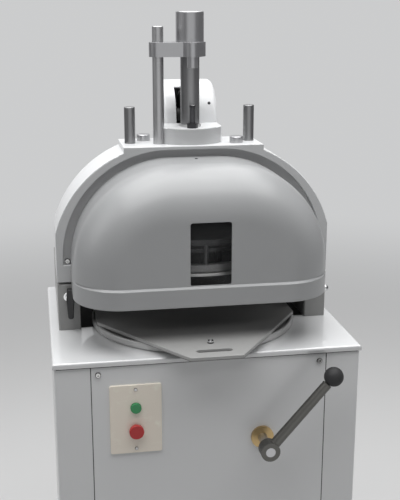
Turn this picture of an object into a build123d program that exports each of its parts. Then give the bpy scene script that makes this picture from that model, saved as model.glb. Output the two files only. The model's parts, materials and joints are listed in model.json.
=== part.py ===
from build123d import *
import os
from math import acos, asin, atan2, cos, degrees, hypot, pi, radians, sin, sqrt, tan

# Floor-standing dough divider and rounder, in millimetres.
# Pieces are drawn with y 0 at the worktop's front edge, going back, and z 0 on the worktop's top face.
# The last section moves them all to the part's origin, on the floor under the middle of the machine.

# Worktop and cabinet
TOP_WIDTH = 640.0
TOP_DEPTH = 530.0
TOP_HEIGHT = 850.0
TOP_SHEET = 3.0
TOP_LIP = 11.0
LIP_WALL = 2.0
TOP_ROUND = 5.0
LIP_ROUND = 3.0
PANEL = 2.0
PANEL_SETBACK = 4.0
SIDE_SETBACK = 3.0
SEAM_INSET = 72.0
SEAM_GAP = 1.0
TONGUE = 25.0
FOLD_ROUND = 4.0
REAR_FLANGE = 40.0
BACK_INSET = 18.0
FOOT_HEIGHT = 80.0
FOOT_R = 25.0
FOOT_PAD = 12.0
FOOT_STEM_R = 8.0
FOOT_NUT = 24.0
FOOT_NUT_HEIGHT = 12.0
FOOT_INSET = 50.0
BASE_SHEET = 4.0
LOUVRE_WIDTH = 150.0
LOUVRE_HEIGHT = 8.0
LOUVRE_PITCH = 24.0
LOUVRE_ROWS = 7

# Main frame inside the cabinet
BED = 12.0
BED_GAP = 2.0
POST_SIZE = 40.0
POST_WALL = 3.0
HANGER = 8.0
HANGER_X = 85.0
SHELF = 10.0
SHELF_FRONT = 60.0
SHELF_REAR = 190.0

# Fasteners
SCREW_R = 3.0
SCREW_HEAD_R = 6.0
SCREW_HEAD = 3.5
SCREW_SOCKET = 4.0
SCREW_LENGTH = 5.5
SCREW_HOLE_GAP = 0.2
FRONT_SCREW_INSET = 15.0
FRONT_SCREW_DROP = 29.0
BACK_SCREW_INSET = 27.0
BACK_SCREW_DROP = 60.0
LOW_SCREW_RISE = 25.0

# Running fits
RUN = 0.06
PIVOT_GAP = 0.3
FACE_GAP = 0.4

# Rounding drive
AXIS_Y = 259.0
ECCENTRIC = 25.0
TABLE_RIM = 7.0
TABLE = 14.0
TABLE_LIFT = 1.5
TABLE_ROUND = 2.0
TABLE_LIP = 4.5
LAND_EDGE = 3.0
TROUGH_DEPTH = 6.0
HUB_R = 30.0
HUB_DROP = 22.0
HUB_GAP = 3.0
CRANK_PIN_R = 15.0
CRANK_PIN_RISE = 6.0
CRANK_WEB = 14.0
CRANK_SHAFT_R = 20.0
CRANK_SHAFT_END = 236.0
WEB_WALL = 5.0
HOUSING_WALL = 6.0
HOUSING_FLANGE = 10.0
HOUSING_TUBE_END = 170.0
IDLER_RADIUS = 140.0
IDLER_ANGLE = 30.0
IDLER_JOURNAL_R = 12.0
IDLER_PIN_R = 10.0
IDLER_END = 98.0
IDLER_TUBE_END = 100.0
SOCKET_WALL = 7.0
PULLEY = 20.0
PULLEY_R = 90.0
PULLEY_HUB_R = 34.0
PULLEY_HUB = 36.0
PULLEY_DROP = 216.0
SPEED_RATIO = 3.0
GROOVE = 11.0
GROOVE_DEPTH = 10.0
BELT = 9.0
BELT_DEPTH = 8.0
MOTOR_DISTANCE = 150.0
MOTOR_R = 65.0
MOTOR_FLANGE_R = 70.0
MOTOR_FLANGE = 8.0
MOTOR_LENGTH = 208.0
MOTOR_SPIGOT_R = 40.0
MOTOR_SPIGOT = 12.0
MOTOR_SHAFT_R = 12.0
MOTOR_SHAFT_DEPTH = 50.0

# Dough plate
PLATE = 8.0
PLATE_CLEAR = 8.0
PLATE_CORNER_Y = 175.0
PLATE_FRONT_HALF = 53.0
PLATE_FRONT_Y = -68.0
SLOT_LENGTH = 74.0
SLOT_WIDTH = 14.0
SLOT_Y = -36.0
EYELET_Y = 8.0
EYELET_HOLE_R = 3.6
EYELET_R = 5.6
EYELET_RISE = 5.5
STOP_PIN_R = 5.0
STOP_PIN_X = 60.0
STOP_PIN_INSET = 9.0
STOP_PIN_RISE = 6.0
NOTCH_GAP = 0.5

# Pedestals, head hinge and latch
PEDESTAL_INSET = 20.0
PEDESTAL_WIDTH = 48.0
PEDESTAL_FRONT = 200.0
PEDESTAL_REAR = 522.0
PEDESTAL_HEIGHT = 104.0
PEDESTAL_WALL = 6.0
PEDESTAL_ROUND = 3.0
HEAD_GAP = 5.0
REST_PAD_R = 8.0
REST_PAD_Y = 300.0
HINGE_Y = 500.0
HINGE_RISE = 22.0
HINGE_EYE_R = 20.0
HINGE_PIN_R = 8.0
LUG_INSET = 4.0
ARM_WIDTH = 18.0
ARM_GAP = 2.0
ARM_HEIGHT = 38.0
GUARD = 4.0
GUARD_HEIGHT = 98.0
BED_MAT = 0.8
BED_MAT_SETBACK = 12.0
LATCH_OFFSET = 2.5
LATCH_SHIFT = 4.6
LATCH_Z = 78.0
LATCH_TOP = 19.0
LATCH_DROP = 48.0
LATCH_TOP_WIDTH = 12.0
LATCH_MID_WIDTH = 16.5
LATCH_LOW_WIDTH = 11.0
LATCH_THICK = 12.0
LATCH_ROUND = 2.5
LATCH_TIP_ROUND = 4.5
WASHER_R = 9.5
WASHER = 6.0
SPINDLE_R = 5.0
NOSE_REACH = 11.0
NOSE_HALF = 4.5
NOSE = 8.0
NOSE_Y = 241.0
STRIKER = 6.0
STRIKER_WIDTH = 18.0
STRIKER_DROP = 56.0
STRIKER_WINDOW_LOW = 64.0
STRIKER_WINDOW_HIGH = 90.0
STRIKER_GAP = 1.5
STRIKER_SWING = 16.0
DOME_NUT_R = 10.0
DOME_NUT_Y = 212.0
DOME_NUT_Z = 61.0
DOME_NUT_WASHER = 3.0

# Head arch
ARCH_DEPTH = 130.0
ARCH_TOP = 390.0
ARCH_ROUND = 256.0
ARCH_KINK = 217.0
SHOULDER_DROP = 2.0
ARCH_EDGE = 2.5
PAD_HALF = 151.0
PAD_RISE = 7.0
PAD_EDGE = 2.0
PAD_LAP = 6.0
ARCH_CROWN = 50.0
OPENING_ROUND = 150.0
RECESS_RIM = 14.0
RECESS_ROUND = 230.0
RECESS_LOW = 146.0
RECESS_DEPTH = 12.0
COVER_SCREW_INSET = 10.0
COVER_SCREW_Z = 153.0
REAR_SHELF = 17.0

# Front and rear covers
COVER_WALL = 4.0
COVER_GAP = 17.0
COVER_DROP = 17.0
COVER_ROUND = 217.0
COVER_RING_GAP = 21.0
COVER_BLEND = 100.0
COVER_CORNER = 100.0
COVER_FACE_DROP = 108.0
COVER_FACE_ROUND = 90.0
LEDGE_Z = 139.0
LEDGE = 5.0
LEDGE_SLOPE = 4.0
SKIRT_STEP = 0.8
SKIRT_LOW = 97.0
SKIRT_CLEAR = 1.0
COVER_SEAT_RISE = 4.0
WINDOW_X = 4.0
WINDOW_WIDTH = 84.0
WINDOW_LOW = 140.0
WINDOW_HIGH = 270.0
WINDOW_ROUND = 5.0
PANE = 3.0
PANE_MARGIN = 8.0
REAR_COVER_INSET = 55.0
REAR_COVER_DROP = 19.0
REAR_COVER_ROUND = 195.0
REAR_RING_GAP = 25.0
REAR_MOTOR_GAP = 26.0
REAR_COVER_BLEND = 120.0
REAR_FACE_HALF = 150.0
REAR_FACE_DROP = 51.0
REAR_FACE_ROUND = 90.0
REAR_COVER_LOW = 110.0

# Pad fittings
BOSS_HALF = 69.5
BOSS_FRONT = 210.0
BOSS_SIDE_Y = 255.0
BOSS_REAR = 310.0
BOSS_HEIGHT = 35.0
BOSS_EDGE = 1.5
TALL_POST_X = -70.5
TALL_POST_Y = 246.0
TALL_POST_R = 12.0
TALL_POST_SPARE = 33.0
CAP_R = 14.5
CAP_HEIGHT = 14.0
CAP_X = 98.0
CAP_SHIFT = 32.0
CAP_Y = 268.0
STOP_X = -0.5
STOP_Y = 223.5
STOP_R = 5.7
STOP_RISE = 44.5
STOP_HEAD_R = 6.6
STOP_HEAD = 4.0
STOP_CLEAR = 2.0
STOP_FOOT_R = 11.0
STOP_NUT = 20.0
STOP_NUT_HEIGHT = 10.0
SEAL_WALL = 3.4
SEAL_HEIGHT = 5.0

# Rack drive of the press
MODULE = 3.0
PINION_TEETH = 36
PRESSURE_ANGLE = 20.0
BACKLASH = 0.2
RACK_LINE = 16.5
RACK_HALF = 12.0
RACK_BELOW = 4
RACK_ABOVE = 12
ROOT_FACTOR = 1.25
PINION_RISE = 48.0
PINION_HALF = 11.0
PINION_HUB_HALF = 19.0
PINION_HUB_R = 18.0
PINION_SHAFT_R = 9.0
PINION_POCKET = 3.0
BEARING_WIDTH = 18.0
BEARING_WALL = 2.0
BEARING_RISE = 61.0
BEARING_REAR = 345.0
HOOD_X = 9.0
HOOD_HALF = 63.0
HOOD_ROUND = 14.0
HOOD_ROOM = 7.0
HOOD_FRONT = 310.0
HOOD_R = 86.0
HOOD_RISE = 38.0
HOOD_WALL = 3.0
HOOD_SLOT_HALF = 22.0
HOOD_SLOT_REAR = 352.0
GEARBOX_INNER = 22.0
GEARBOX_OUTER = 62.0
GEARBOX_REAR = 468.0
PRESS_MOTOR_Y = 420.0
PRESS_MOTOR_R = 42.0
PRESS_MOTOR_GAP = 10.0
PRESS_MOTOR_DROP = 63.0
PRESS_NECK_R = 28.0
PRESS_NECK_GAP = 3.0

# Press
PRESS_STROKE = 76.0
RAM_R = 20.5
RAM_BORE_R = 8.0
CROSSHEAD = 30.0
CROSSHEAD_CLEAR = 3.0
CROSSHEAD_RAM_R = 34.0
CROSSHEAD_POST_R = 19.0
CROSSHEAD_STOP_R = 15.0
GUIDE_POST_R = 11.75
GUIDE_POST_X = 131.0
GUIDE_POST_Y = 264.0
GUIDE_POST_SPARE = 2.0
CARRIAGE_RIM = 10.0
CARRIAGE_LOW = 214.0
CARRIAGE = 12.0
CARRIAGE_HUB_R = 45.0
CARRIAGE_HUB = 24.0
RING_SIDE_GAP = 29.0
RING_INSET = 13.0
RING_RIM = 16.0
RING_WALL = 8.0
RING_CLEAR = 1.5
RING_TOP = 174.0
RING_FLANGE_LOW = 151.0
RING_FLANGE = 6.0
RING_BAND_WALL = 13.0
RING_BAND = 14.0
PILLAR_R = 5.0
PILLAR_COUNT = 6
CELLS = (4, 10, 16)
CELL_GAP = 4.0
CELL_EDGE = 1.5
CELL_TIP_R = 6.0
PLUNGER_LOW = 143.0
PLUNGER = 15.0
STUD_R = 4.0
STUD_GAP = 1.0

# Knife
KNIFE_STROKE = 36.0
BLADE = 2.0
BLADE_LOW = 145.0
SPIDER_LOW = 196.0
SPIDER = 8.0
SPIDER_GAP = 5.0
SPIDER_HUB_R = 20.0
SPIDER_HUB = 6.0
KNIFE_ROD_R = 6.5
CYLINDER_R = 30.0
CYLINDER_WALL = 5.0
PISTON = 10.0
PISTON_CLEAR = 1.0
PISTON_CUSHION = 6.0

# Hand lever and switches
LEVER_X = 110.0
LEVER_Z = -191.0
LEVER_LENGTH = 200.0
LEVER_LEAN = 41.0
LEVER_STANDOFF = 64.0
LEVER_LOW_R = 11.0
LEVER_HIGH_R = 10.2
LEVER_TIP_R = 6.0
LEVER_TIP = 14.0
LEVER_HUB_R = 20.0
LEVER_HUB = 26.0
KNOB_R = 20.0
LEVER_SHAFT_R = 10.0
LEVER_SHAFT_IN = 46.0
BUSH_R = 16.0
BUSH_FLANGE_R = 24.0
BUSH_FLANGE = 6.0
BUSH_LENGTH = 20.0
CAM_R = 20.0
CAM_OFFSET = 5.0
CAM = 10.0
CAM_SWITCH_WIDTH = 36.0
CAM_SWITCH_HEIGHT = 44.0
SWITCH_PLATE_X = -155.5
SWITCH_PLATE_TOP = -54.0
SWITCH_PLATE_WIDTH = 106.0
SWITCH_PLATE_HEIGHT = 150.0
SWITCH_PLATE = 4.0
SWITCH_PLATE_ROUND = 4.0
SWITCH_SCREW_INSET = 10.0
SWITCH_SCREW_SCALE = 0.6
START_DROP = 50.0
STOP_DROP = 100.0
BUTTON_R = 11.0
BUTTON_RISE = 6.0
STOP_BUTTON_R = 15.0
STOP_BUTTON_RISE = 12.0
BUTTON_TRAVEL = 4.0
BUTTON_BACK = 16.0
CONTROL_WIDTH = 95.0
CONTROL_DEPTH = 130.0
CONTROL_HEIGHT = 200.0
CONTROL_GAP = 6.0
CONTROL_Z = -500.0
GLAND_X = 200.0
GLAND_RISE = 70.0
GLAND_R = 10.0
GLAND_HEX = 26.0
GLAND_HEX_HEIGHT = 8.0
GLAND_OUT = 15.0
GLAND_IN = 8.0

# Places worked out from the sizes above
CAB_HALF = TOP_WIDTH / 2 - SIDE_SETBACK
CAB_INNER = CAB_HALF - PANEL
CAB_FRONT = PANEL_SETBACK
CAB_REAR = TOP_DEPTH - PANEL_SETBACK
CAB_LOW = FOOT_HEIGHT - TOP_HEIGHT
PANEL_TOP = -TOP_SHEET - LIP_ROUND
SEAM_X = CAB_HALF - SEAM_INSET
FRONT_SCREW_X = SEAM_X - FRONT_SCREW_INSET
BACK_SCREW_X = CAB_HALF - BACK_SCREW_INSET
BACK_Y = TOP_DEPTH - BACK_INSET
BED_LOW = -TOP_SHEET - BED
BED_FRONT = CAB_FRONT + 2 * PANEL + BED_GAP
BED_REAR = BACK_Y - 2 * PANEL - BED_GAP
CONTROL_Y = BED_REAR - POST_SIZE - CONTROL_GAP - CONTROL_DEPTH
SHELF_TOP = -PULLEY_DROP - PULLEY / 2 - MOTOR_SPIGOT - HOUSING_FLANGE
ARCH_HALF = TOP_WIDTH / 2 - PEDESTAL_INSET
PEDESTAL_INNER = ARCH_HALF - PEDESTAL_WIDTH
PEDESTAL_MID = (PEDESTAL_INNER + ARCH_HALF) / 2
PLATE_R = PEDESTAL_INNER - ECCENTRIC - PLATE_CLEAR
RING_FLANGE_R = PLATE_R - RING_INSET
TABLE_R = PLATE_R + TABLE_RIM
STOP_PIN_RADIUS = PLATE_R - STOP_PIN_INSET
TABLE_Y = AXIS_Y - ECCENTRIC
TABLE_TOP = TABLE_LIFT + TABLE
PLATE_TOP = TABLE_TOP + PLATE
SOCKET_R = IDLER_PIN_R + SOCKET_WALL
LAND_R = IDLER_RADIUS + SOCKET_R + LAND_EDGE
HUB_HOLE_R = HUB_R + ECCENTRIC + HUB_GAP
SOCKET_HOLE_R = SOCKET_R + ECCENTRIC + HUB_GAP
IDLER_X = IDLER_RADIUS * cos(radians(IDLER_ANGLE))
IDLER_Y = AXIS_Y + IDLER_RADIUS * sin(radians(IDLER_ANGLE))
WEB_TOP = -HUB_DROP - PANEL
WEB_LOW = WEB_TOP - CRANK_WEB
MOTOR_Y = AXIS_Y - MOTOR_DISTANCE
MOTOR_PULLEY_R = PULLEY_R / SPEED_RATIO
HEAD_LOW = PEDESTAL_HEIGHT + HEAD_GAP
HINGE_Z = PEDESTAL_HEIGHT + HINGE_RISE
ARM_INNER = PEDESTAL_INNER + ARM_GAP
ARM_OUTER = ARM_INNER + ARM_WIDTH
ARCH_REAR = PEDESTAL_FRONT + ARCH_DEPTH
LUG_OUTER = ARCH_HALF - LUG_INSET
LATCH_X = -PEDESTAL_MID - LATCH_OFFSET
STRIKER_X = LATCH_X - SPINDLE_R - STRIKER_GAP
PAD_TOP = ARCH_TOP + PAD_RISE
OPENING_HALF = RING_FLANGE_R + RING_SIDE_GAP
OPENING_TOP = ARCH_TOP - ARCH_CROWN
RECESS_HALF = ARCH_HALF - RECESS_RIM
COVER_SCREW_X = RECESS_HALF - COVER_SCREW_INSET
COVER_HALF = RECESS_HALF - COVER_GAP
COVER_FRONT = AXIS_Y - RING_FLANGE_R - COVER_RING_GAP - PANE - COVER_WALL
COVER_TOP = ARCH_TOP - COVER_DROP
COVER_FACE_HALF = COVER_HALF - COVER_CORNER
COVER_FACE_TOP = COVER_TOP - COVER_FACE_DROP
REAR_COVER_HALF = ARCH_HALF - REAR_COVER_INSET
MOTOR_REAR = PRESS_MOTOR_Y + PRESS_MOTOR_R
REAR_COVER_Y = max(AXIS_Y + RING_FLANGE_R + REAR_RING_GAP, MOTOR_REAR + REAR_MOTOR_GAP)
REAR_COVER_TOP = ARCH_TOP - REAR_COVER_DROP
REAR_FACE_TOP = REAR_COVER_TOP - REAR_FACE_DROP
BOSS_TOP = PAD_TOP + BOSS_HEIGHT
STOP_TOP = BOSS_TOP + STOP_RISE + STOP_HEAD
PITCH_R = MODULE * PINION_TEETH / 2
TOOTH_PITCH = pi * MODULE
RACK_Y = AXIS_Y + RACK_LINE
PINION_Y = RACK_Y + PITCH_R
PINION_Z = PAD_TOP + PINION_RISE
PINION_TIP_R = PITCH_R + MODULE
PINION_ROOT_R = PITCH_R - ROOT_FACTOR * MODULE
PINION_SHAFT_LEFT = HOOD_HALF - HOOD_X - HOOD_WALL - HOOD_ROOM
PINION_SHAFT_RIGHT = GEARBOX_OUTER - BEARING_WALL
BEARING_TOP = PAD_TOP + BEARING_RISE
HOOD_Y = HOOD_FRONT + HOOD_R
HOOD_Z = PAD_TOP + HOOD_RISE
REAR_SHELF_Y = HOOD_Y + HOOD_R + HOOD_WALL
GEARBOX_MID = (GEARBOX_INNER + GEARBOX_OUTER) / 2
CROSSHEAD_LOW = PINION_Z + PINION_TIP_R + PRESS_STROKE + CROSSHEAD_CLEAR
RAM_TOP = CROSSHEAD_LOW + CROSSHEAD
TALL_POST_TOP = RAM_TOP + TALL_POST_SPARE
GUIDE_POST_TOP = PAD_TOP + PRESS_STROKE + GUIDE_POST_SPARE
RING_LOW = PLATE_TOP + PRESS_STROKE + RING_CLEAR
CYLINDER_HEIGHT = 2 * CYLINDER_WALL + PISTON + KNIFE_STROKE + PISTON_CLEAR + PISTON_CUSHION
CARRIAGE_TOP = CARRIAGE_LOW + CARRIAGE
PRESS_MOTOR_LOW = CARRIAGE_TOP + PRESS_MOTOR_GAP
PRESS_MOTOR_HIGH = PAD_TOP - PRESS_MOTOR_DROP
RING_BORE_R = RING_FLANGE_R - RING_RIM
RING_R = RING_BORE_R + RING_WALL
RING_BAND_R = RING_BORE_R + RING_BAND_WALL
CARRIAGE_R = RING_BORE_R + CARRIAGE_RIM
SPIDER_R = RING_BORE_R - SPIDER_GAP
CELL_EDGE_R = RING_BORE_R - CELL_EDGE
PISTON_TOP = RAM_TOP + CYLINDER_HEIGHT - CYLINDER_WALL - PISTON_CLEAR
LEVER_Y = CAB_FRONT - LEVER_STANDOFF
KNOB_X = LEVER_X + LEVER_LENGTH * sin(radians(LEVER_LEAN))
KNOB_Z = LEVER_Z + LEVER_LENGTH * cos(radians(LEVER_LEAN))
SWITCH_FACE = CAB_FRONT - SWITCH_PLATE
START_Z = SWITCH_PLATE_TOP - START_DROP
STOP_Z = SWITCH_PLATE_TOP - STOP_DROP
MACHINE_FRONT = LEVER_Y - KNOB_R
MACHINE_MID_Y = (MACHINE_FRONT + TOP_DEPTH) / 2


# Building helpers
def block(x0, x1, y0, y1, z0, z1):
    return Pos((x0 + x1) / 2, (y0 + y1) / 2, (z0 + z1) / 2) * Box(x1 - x0, y1 - y0, z1 - z0)


def rod_z(x, y, radius, z0, z1):
    return Pos(x, y, (z0 + z1) / 2) * Cylinder(radius, z1 - z0)


def rod_y(x, z, radius, y0, y1):
    return Pos(x, (y0 + y1) / 2, z) * Rot(90, 0, 0) * Cylinder(radius, y1 - y0)


def rod_x(y, z, radius, x0, x1):
    return Pos((x0 + x1) / 2, y, z) * Rot(0, 90, 0) * Cylinder(radius, x1 - x0)


def tube_z(x, y, outer, inner, z0, z1):
    return rod_z(x, y, outer, z0, z1) - rod_z(x, y, inner, z0, z1)


def mirrored(shape):
    return mirror(shape, about=Plane.YZ)


def pair(shape):
    return Compound(children=[shape, mirrored(shape)])


def facing(y):
    """Upright plane across the machine at depth y, whose own x and y are the machine's x and z."""
    return Plane.XZ.offset(-y)


def backwards(face, depth):
    return extrude(face, amount=depth, dir=(0, 1, 0))


def upwards(face, height):
    return extrude(face, amount=height, dir=(0, 0, 1))


def link_face(start, start_r, end, end_r):
    """Outline of a belt round two discs: both circles and the four-sided face between their tangents."""
    dx = end[0] - start[0]
    dy = end[1] - start[1]
    base = atan2(dy, dx)
    turn = acos((start_r - end_r) / hypot(dx, dy))
    corners = []
    for angle in (base + turn, base - turn):
        tangent = [(start[0] + start_r * cos(angle), start[1] + start_r * sin(angle))]
        tangent.append((end[0] + end_r * cos(angle), end[1] + end_r * sin(angle)))
        corners += tangent if angle > base else reversed(tangent)
    middle = make_face(Polyline(*corners, close=True))
    return Pos(*start) * Circle(start_r) + Pos(*end) * Circle(end_r) + middle


def link(start, start_r, end, end_r, z0, z1):
    return upwards(Pos(0, 0, z0) * link_face(start, start_r, end, end_r), z1 - z0)


def arch_face(half, top, corner, low):
    """Upright outline with two straight sides, two round shoulders and a flat top."""
    reach = corner * sqrt(0.5)
    shoulder = top - corner
    run = half - corner
    edges = Curve() + [
        Line((-half, low), (-half, shoulder)),
        ThreePointArc((-half, shoulder), (-run - reach, shoulder + reach), (-run, top)),
        Line((-run, top), (run, top)),
        ThreePointArc((run, top), (run + reach, shoulder + reach), (half, shoulder)),
        Line((half, shoulder), (half, low)),
        Line((half, low), (-half, low)),
    ]
    return make_face(edges)


def button_screw(x, z, y_face, direction, scale=1.0):
    """Socket screw along y: its head stands on the face, its shank goes the other way."""
    head_out = y_face - direction * SCREW_HEAD * scale
    head = rod_y(x, z, SCREW_HEAD_R * scale, min(head_out, y_face), max(head_out, y_face))
    rim = head.edges().filter_by(GeomType.CIRCLE).sort_by(Axis.Y)[0 if direction > 0 else -1]
    head = fillet(rim, SCREW_HEAD * scale / 2)
    shank_in = y_face + direction * SCREW_LENGTH
    shank = rod_y(x, z, SCREW_R * scale, min(shank_in, y_face), max(shank_in, y_face))
    socket = facing(head_out) * Pos(x, z) * RegularPolygon(SCREW_SOCKET * scale / 2, 6, major_radius=False)
    socket_cut = extrude(socket, amount=SCREW_HEAD * scale / 2, both=True)
    return head + shank - socket_cut


def screw_hole(x, z, y0, y1, scale=1.0):
    return rod_y(x, z, SCREW_R * scale + SCREW_HOLE_GAP, y0, y1)


# Cabinet
def front_screw_places():
    low = CAB_LOW + LOW_SCREW_RISE
    return [(x, z) for x in (-FRONT_SCREW_X, FRONT_SCREW_X) for z in (-FRONT_SCREW_DROP, low)]


def back_screw_places():
    low = CAB_LOW + LOW_SCREW_RISE
    return [(x, z) for x in (-BACK_SCREW_X, BACK_SCREW_X) for z in (-BACK_SCREW_DROP, low)]


def switch_screw_places():
    low = SWITCH_PLATE_TOP - SWITCH_PLATE_HEIGHT + SWITCH_SCREW_INSET
    return [(SWITCH_PLATE_X, z) for z in (SWITCH_PLATE_TOP - SWITCH_SCREW_INSET, low)]


def drive_holes(z0, z1):
    holes = rod_z(0, AXIS_Y, HUB_HOLE_R, z0, z1)
    for side in (-1, 1):
        holes += rod_z(side * IDLER_X, IDLER_Y, SOCKET_HOLE_R, z0, z1)
    return holes


def worktop():
    half = TOP_WIDTH / 2
    top = block(-half, half, 0, TOP_DEPTH, -TOP_LIP, 0)
    top = fillet(top.edges().group_by(Axis.Z)[-1], TOP_ROUND)
    inside = half - LIP_WALL
    hollow = block(-inside, inside, LIP_WALL, TOP_DEPTH - LIP_WALL, -TOP_LIP, -TOP_SHEET)
    top -= fillet(hollow.edges().group_by(Axis.Z)[-1], LIP_ROUND)
    return top - drive_holes(-TOP_LIP, 0)


def bed_mat():
    """Thin rubber mat on the worktop between the pedestals, under the round table."""
    half = PEDESTAL_INNER - SEAM_GAP
    rear = PEDESTAL_REAR - GUARD - SEAM_GAP
    mat = block(-half, half, PEDESTAL_FRONT + BED_MAT_SETBACK, rear, 0, BED_MAT)
    return mat - drive_holes(0, BED_MAT)


def folded_block(x1, y0, radius):
    """Block from the seam to x1, as tall as a panel, whose front outer upright edge is round."""
    body = block(SEAM_X, x1, y0, CAB_REAR, CAB_LOW, PANEL_TOP)
    outer = body.edges().filter_by(Axis.Z).sort_by(Axis.X)[-2:]
    return fillet(outer.sort_by(Axis.Y)[0], radius)


def side_panel():
    panel = folded_block(CAB_HALF, CAB_FRONT, FOLD_ROUND)
    panel -= folded_block(CAB_INNER, CAB_FRONT + PANEL, FOLD_ROUND - PANEL)
    tongue_y = CAB_FRONT + PANEL
    panel += block(SEAM_X - TONGUE, SEAM_X + PANEL, tongue_y, tongue_y + PANEL, CAB_LOW, PANEL_TOP)
    flange_y = BACK_Y - 2 * PANEL
    panel += block(CAB_HALF - REAR_FLANGE, CAB_HALF, flange_y, flange_y + PANEL, CAB_LOW, PANEL_TOP)
    for x, z in front_screw_places():
        panel -= screw_hole(x, z, CAB_FRONT, tongue_y + PANEL)
    for x, z in back_screw_places():
        panel -= screw_hole(x, z, flange_y, flange_y + PANEL)
    return panel


def front_panel():
    half = SEAM_X - SEAM_GAP
    rear = CAB_FRONT + PANEL
    panel = block(-half, half, CAB_FRONT, rear, CAB_LOW, -TOP_LIP - SEAM_GAP)
    for x, z in front_screw_places():
        panel -= screw_hole(x, z, CAB_FRONT, rear)
    for x, z in switch_screw_places():
        panel -= screw_hole(x, z, CAB_FRONT, rear, SWITCH_SCREW_SCALE)
    for z in (START_Z, STOP_Z):
        panel -= rod_y(SWITCH_PLATE_X, z, BUTTON_R + FACE_GAP, CAB_FRONT, rear)
    return panel - rod_y(LEVER_X, LEVER_Z, BUSH_R, CAB_FRONT, rear)


def back_panel():
    front = BACK_Y - PANEL
    half = CAB_INNER - SEAM_GAP
    panel = block(-half, half, front, BACK_Y, CAB_LOW, -TOP_SHEET)
    for row in range(LOUVRE_ROWS):
        z = CAB_LOW / 2 + row * LOUVRE_PITCH
        for side in (-1, 1):
            x = side * LOUVRE_WIDTH * 0.75
            face = facing(front) * Pos(x, z) * SlotOverall(LOUVRE_WIDTH, LOUVRE_HEIGHT)
            panel -= backwards(face, PANEL)
    for x, z in back_screw_places():
        panel -= screw_hole(x, z, front, BACK_Y)
    return panel - rod_y(GLAND_X, CAB_LOW + GLAND_RISE, GLAND_R, front, BACK_Y)


def base_plate():
    plate = block(-CAB_INNER, CAB_INNER, BED_FRONT, BED_REAR, CAB_LOW, CAB_LOW + BASE_SHEET)
    for x, y in foot_places():
        plate -= rod_z(x, y, FOOT_STEM_R + SCREW_HOLE_GAP, CAB_LOW, CAB_LOW + BASE_SHEET)
    return plate


def foot_places():
    x = CAB_HALF - FOOT_INSET - POST_SIZE / 2
    return [(side * x, y) for side in (-1, 1) for y in (FOOT_INSET, TOP_DEPTH - FOOT_INSET)]


def levelling_feet():
    feet = []
    for x, y in foot_places():
        floor = -TOP_HEIGHT
        foot = rod_z(x, y, FOOT_R, floor, floor + FOOT_PAD)
        foot = chamfer(foot.edges().group_by(Axis.Z)[-1], FOOT_PAD / 3)
        foot += rod_z(x, y, FOOT_STEM_R, floor + FOOT_PAD, CAB_LOW + 3 * BASE_SHEET)
        nut = Pos(x, y, CAB_LOW - FOOT_NUT_HEIGHT) * RegularPolygon(FOOT_NUT / 2, 6, major_radius=False)
        feet.append(foot + upwards(nut, FOOT_NUT_HEIGHT))
    return Compound(children=feet)


def panel_screws():
    screws = [button_screw(x, z, CAB_FRONT, 1) for x, z in front_screw_places()]
    screws += [button_screw(x, z, BACK_Y, -1) for x, z in back_screw_places()]
    screws += [button_screw(x, z, SWITCH_FACE, 1, SWITCH_SCREW_SCALE) for x, z in switch_screw_places()]
    return Compound(children=screws)


def frame_post(side, y0):
    outer = CAB_INNER
    inner = outer - POST_SIZE
    low = CAB_LOW + BASE_SHEET
    post = block(inner, outer, y0, y0 + POST_SIZE, low, BED_LOW)
    y1 = y0 + POST_SIZE - POST_WALL
    post -= block(inner + POST_WALL, outer - POST_WALL, y0 + POST_WALL, y1, low, BED_LOW)
    return post if side > 0 else mirrored(post)


def main_frame():
    frame = block(-CAB_INNER, CAB_INNER, BED_FRONT, BED_REAR, BED_LOW, -TOP_SHEET)
    frame -= drive_holes(BED_LOW, -TOP_SHEET)
    for side in (-1, 1):
        frame += frame_post(side, BED_FRONT)
        frame += frame_post(side, BED_REAR - POST_SIZE)
        hanger = block(HANGER_X, HANGER_X + HANGER, SHELF_FRONT, SHELF_REAR, SHELF_TOP - SHELF, BED_LOW)
        frame += hanger if side > 0 else mirrored(hanger)
    outer = HANGER_X + HANGER
    frame += block(-outer, outer, SHELF_FRONT, SHELF_REAR, SHELF_TOP - SHELF, SHELF_TOP)
    return frame - rod_z(0, MOTOR_Y, MOTOR_SPIGOT_R, SHELF_TOP - SHELF, SHELF_TOP)


# Rounding drive
def crank_bearings():
    main = rod_z(0, AXIS_Y, HUB_HOLE_R + HOUSING_WALL, WEB_LOW - 2 * HOUSING_FLANGE, BED_LOW)
    main += rod_z(0, AXIS_Y, HUB_HOLE_R + HOUSING_WALL + HOUSING_FLANGE, BED_LOW - HOUSING_FLANGE, BED_LOW)
    main += rod_z(0, AXIS_Y, CRANK_SHAFT_R + 2 * HOUSING_FLANGE, -HOUSING_TUBE_END, WEB_LOW)
    main -= rod_z(0, AXIS_Y, HUB_HOLE_R, WEB_LOW - PIVOT_GAP, BED_LOW)
    main -= rod_z(0, AXIS_Y, CRANK_SHAFT_R + RUN, -HOUSING_TUBE_END, BED_LOW)
    housings = [main]
    for side in (-1, 1):
        x = side * IDLER_X
        idler = rod_z(x, IDLER_Y, SOCKET_HOLE_R + HOUSING_WALL, WEB_LOW - 2 * HOUSING_FLANGE, BED_LOW)
        idler += rod_z(x, IDLER_Y, IDLER_JOURNAL_R + 2 * HOUSING_WALL, -IDLER_TUBE_END, WEB_LOW)
        idler -= rod_z(x, IDLER_Y, SOCKET_HOLE_R, WEB_LOW - PIVOT_GAP, BED_LOW)
        idler -= rod_z(x, IDLER_Y, IDLER_JOURNAL_R + RUN, -IDLER_TUBE_END, BED_LOW)
        housings.append(idler)
    return Compound(children=housings)


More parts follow.
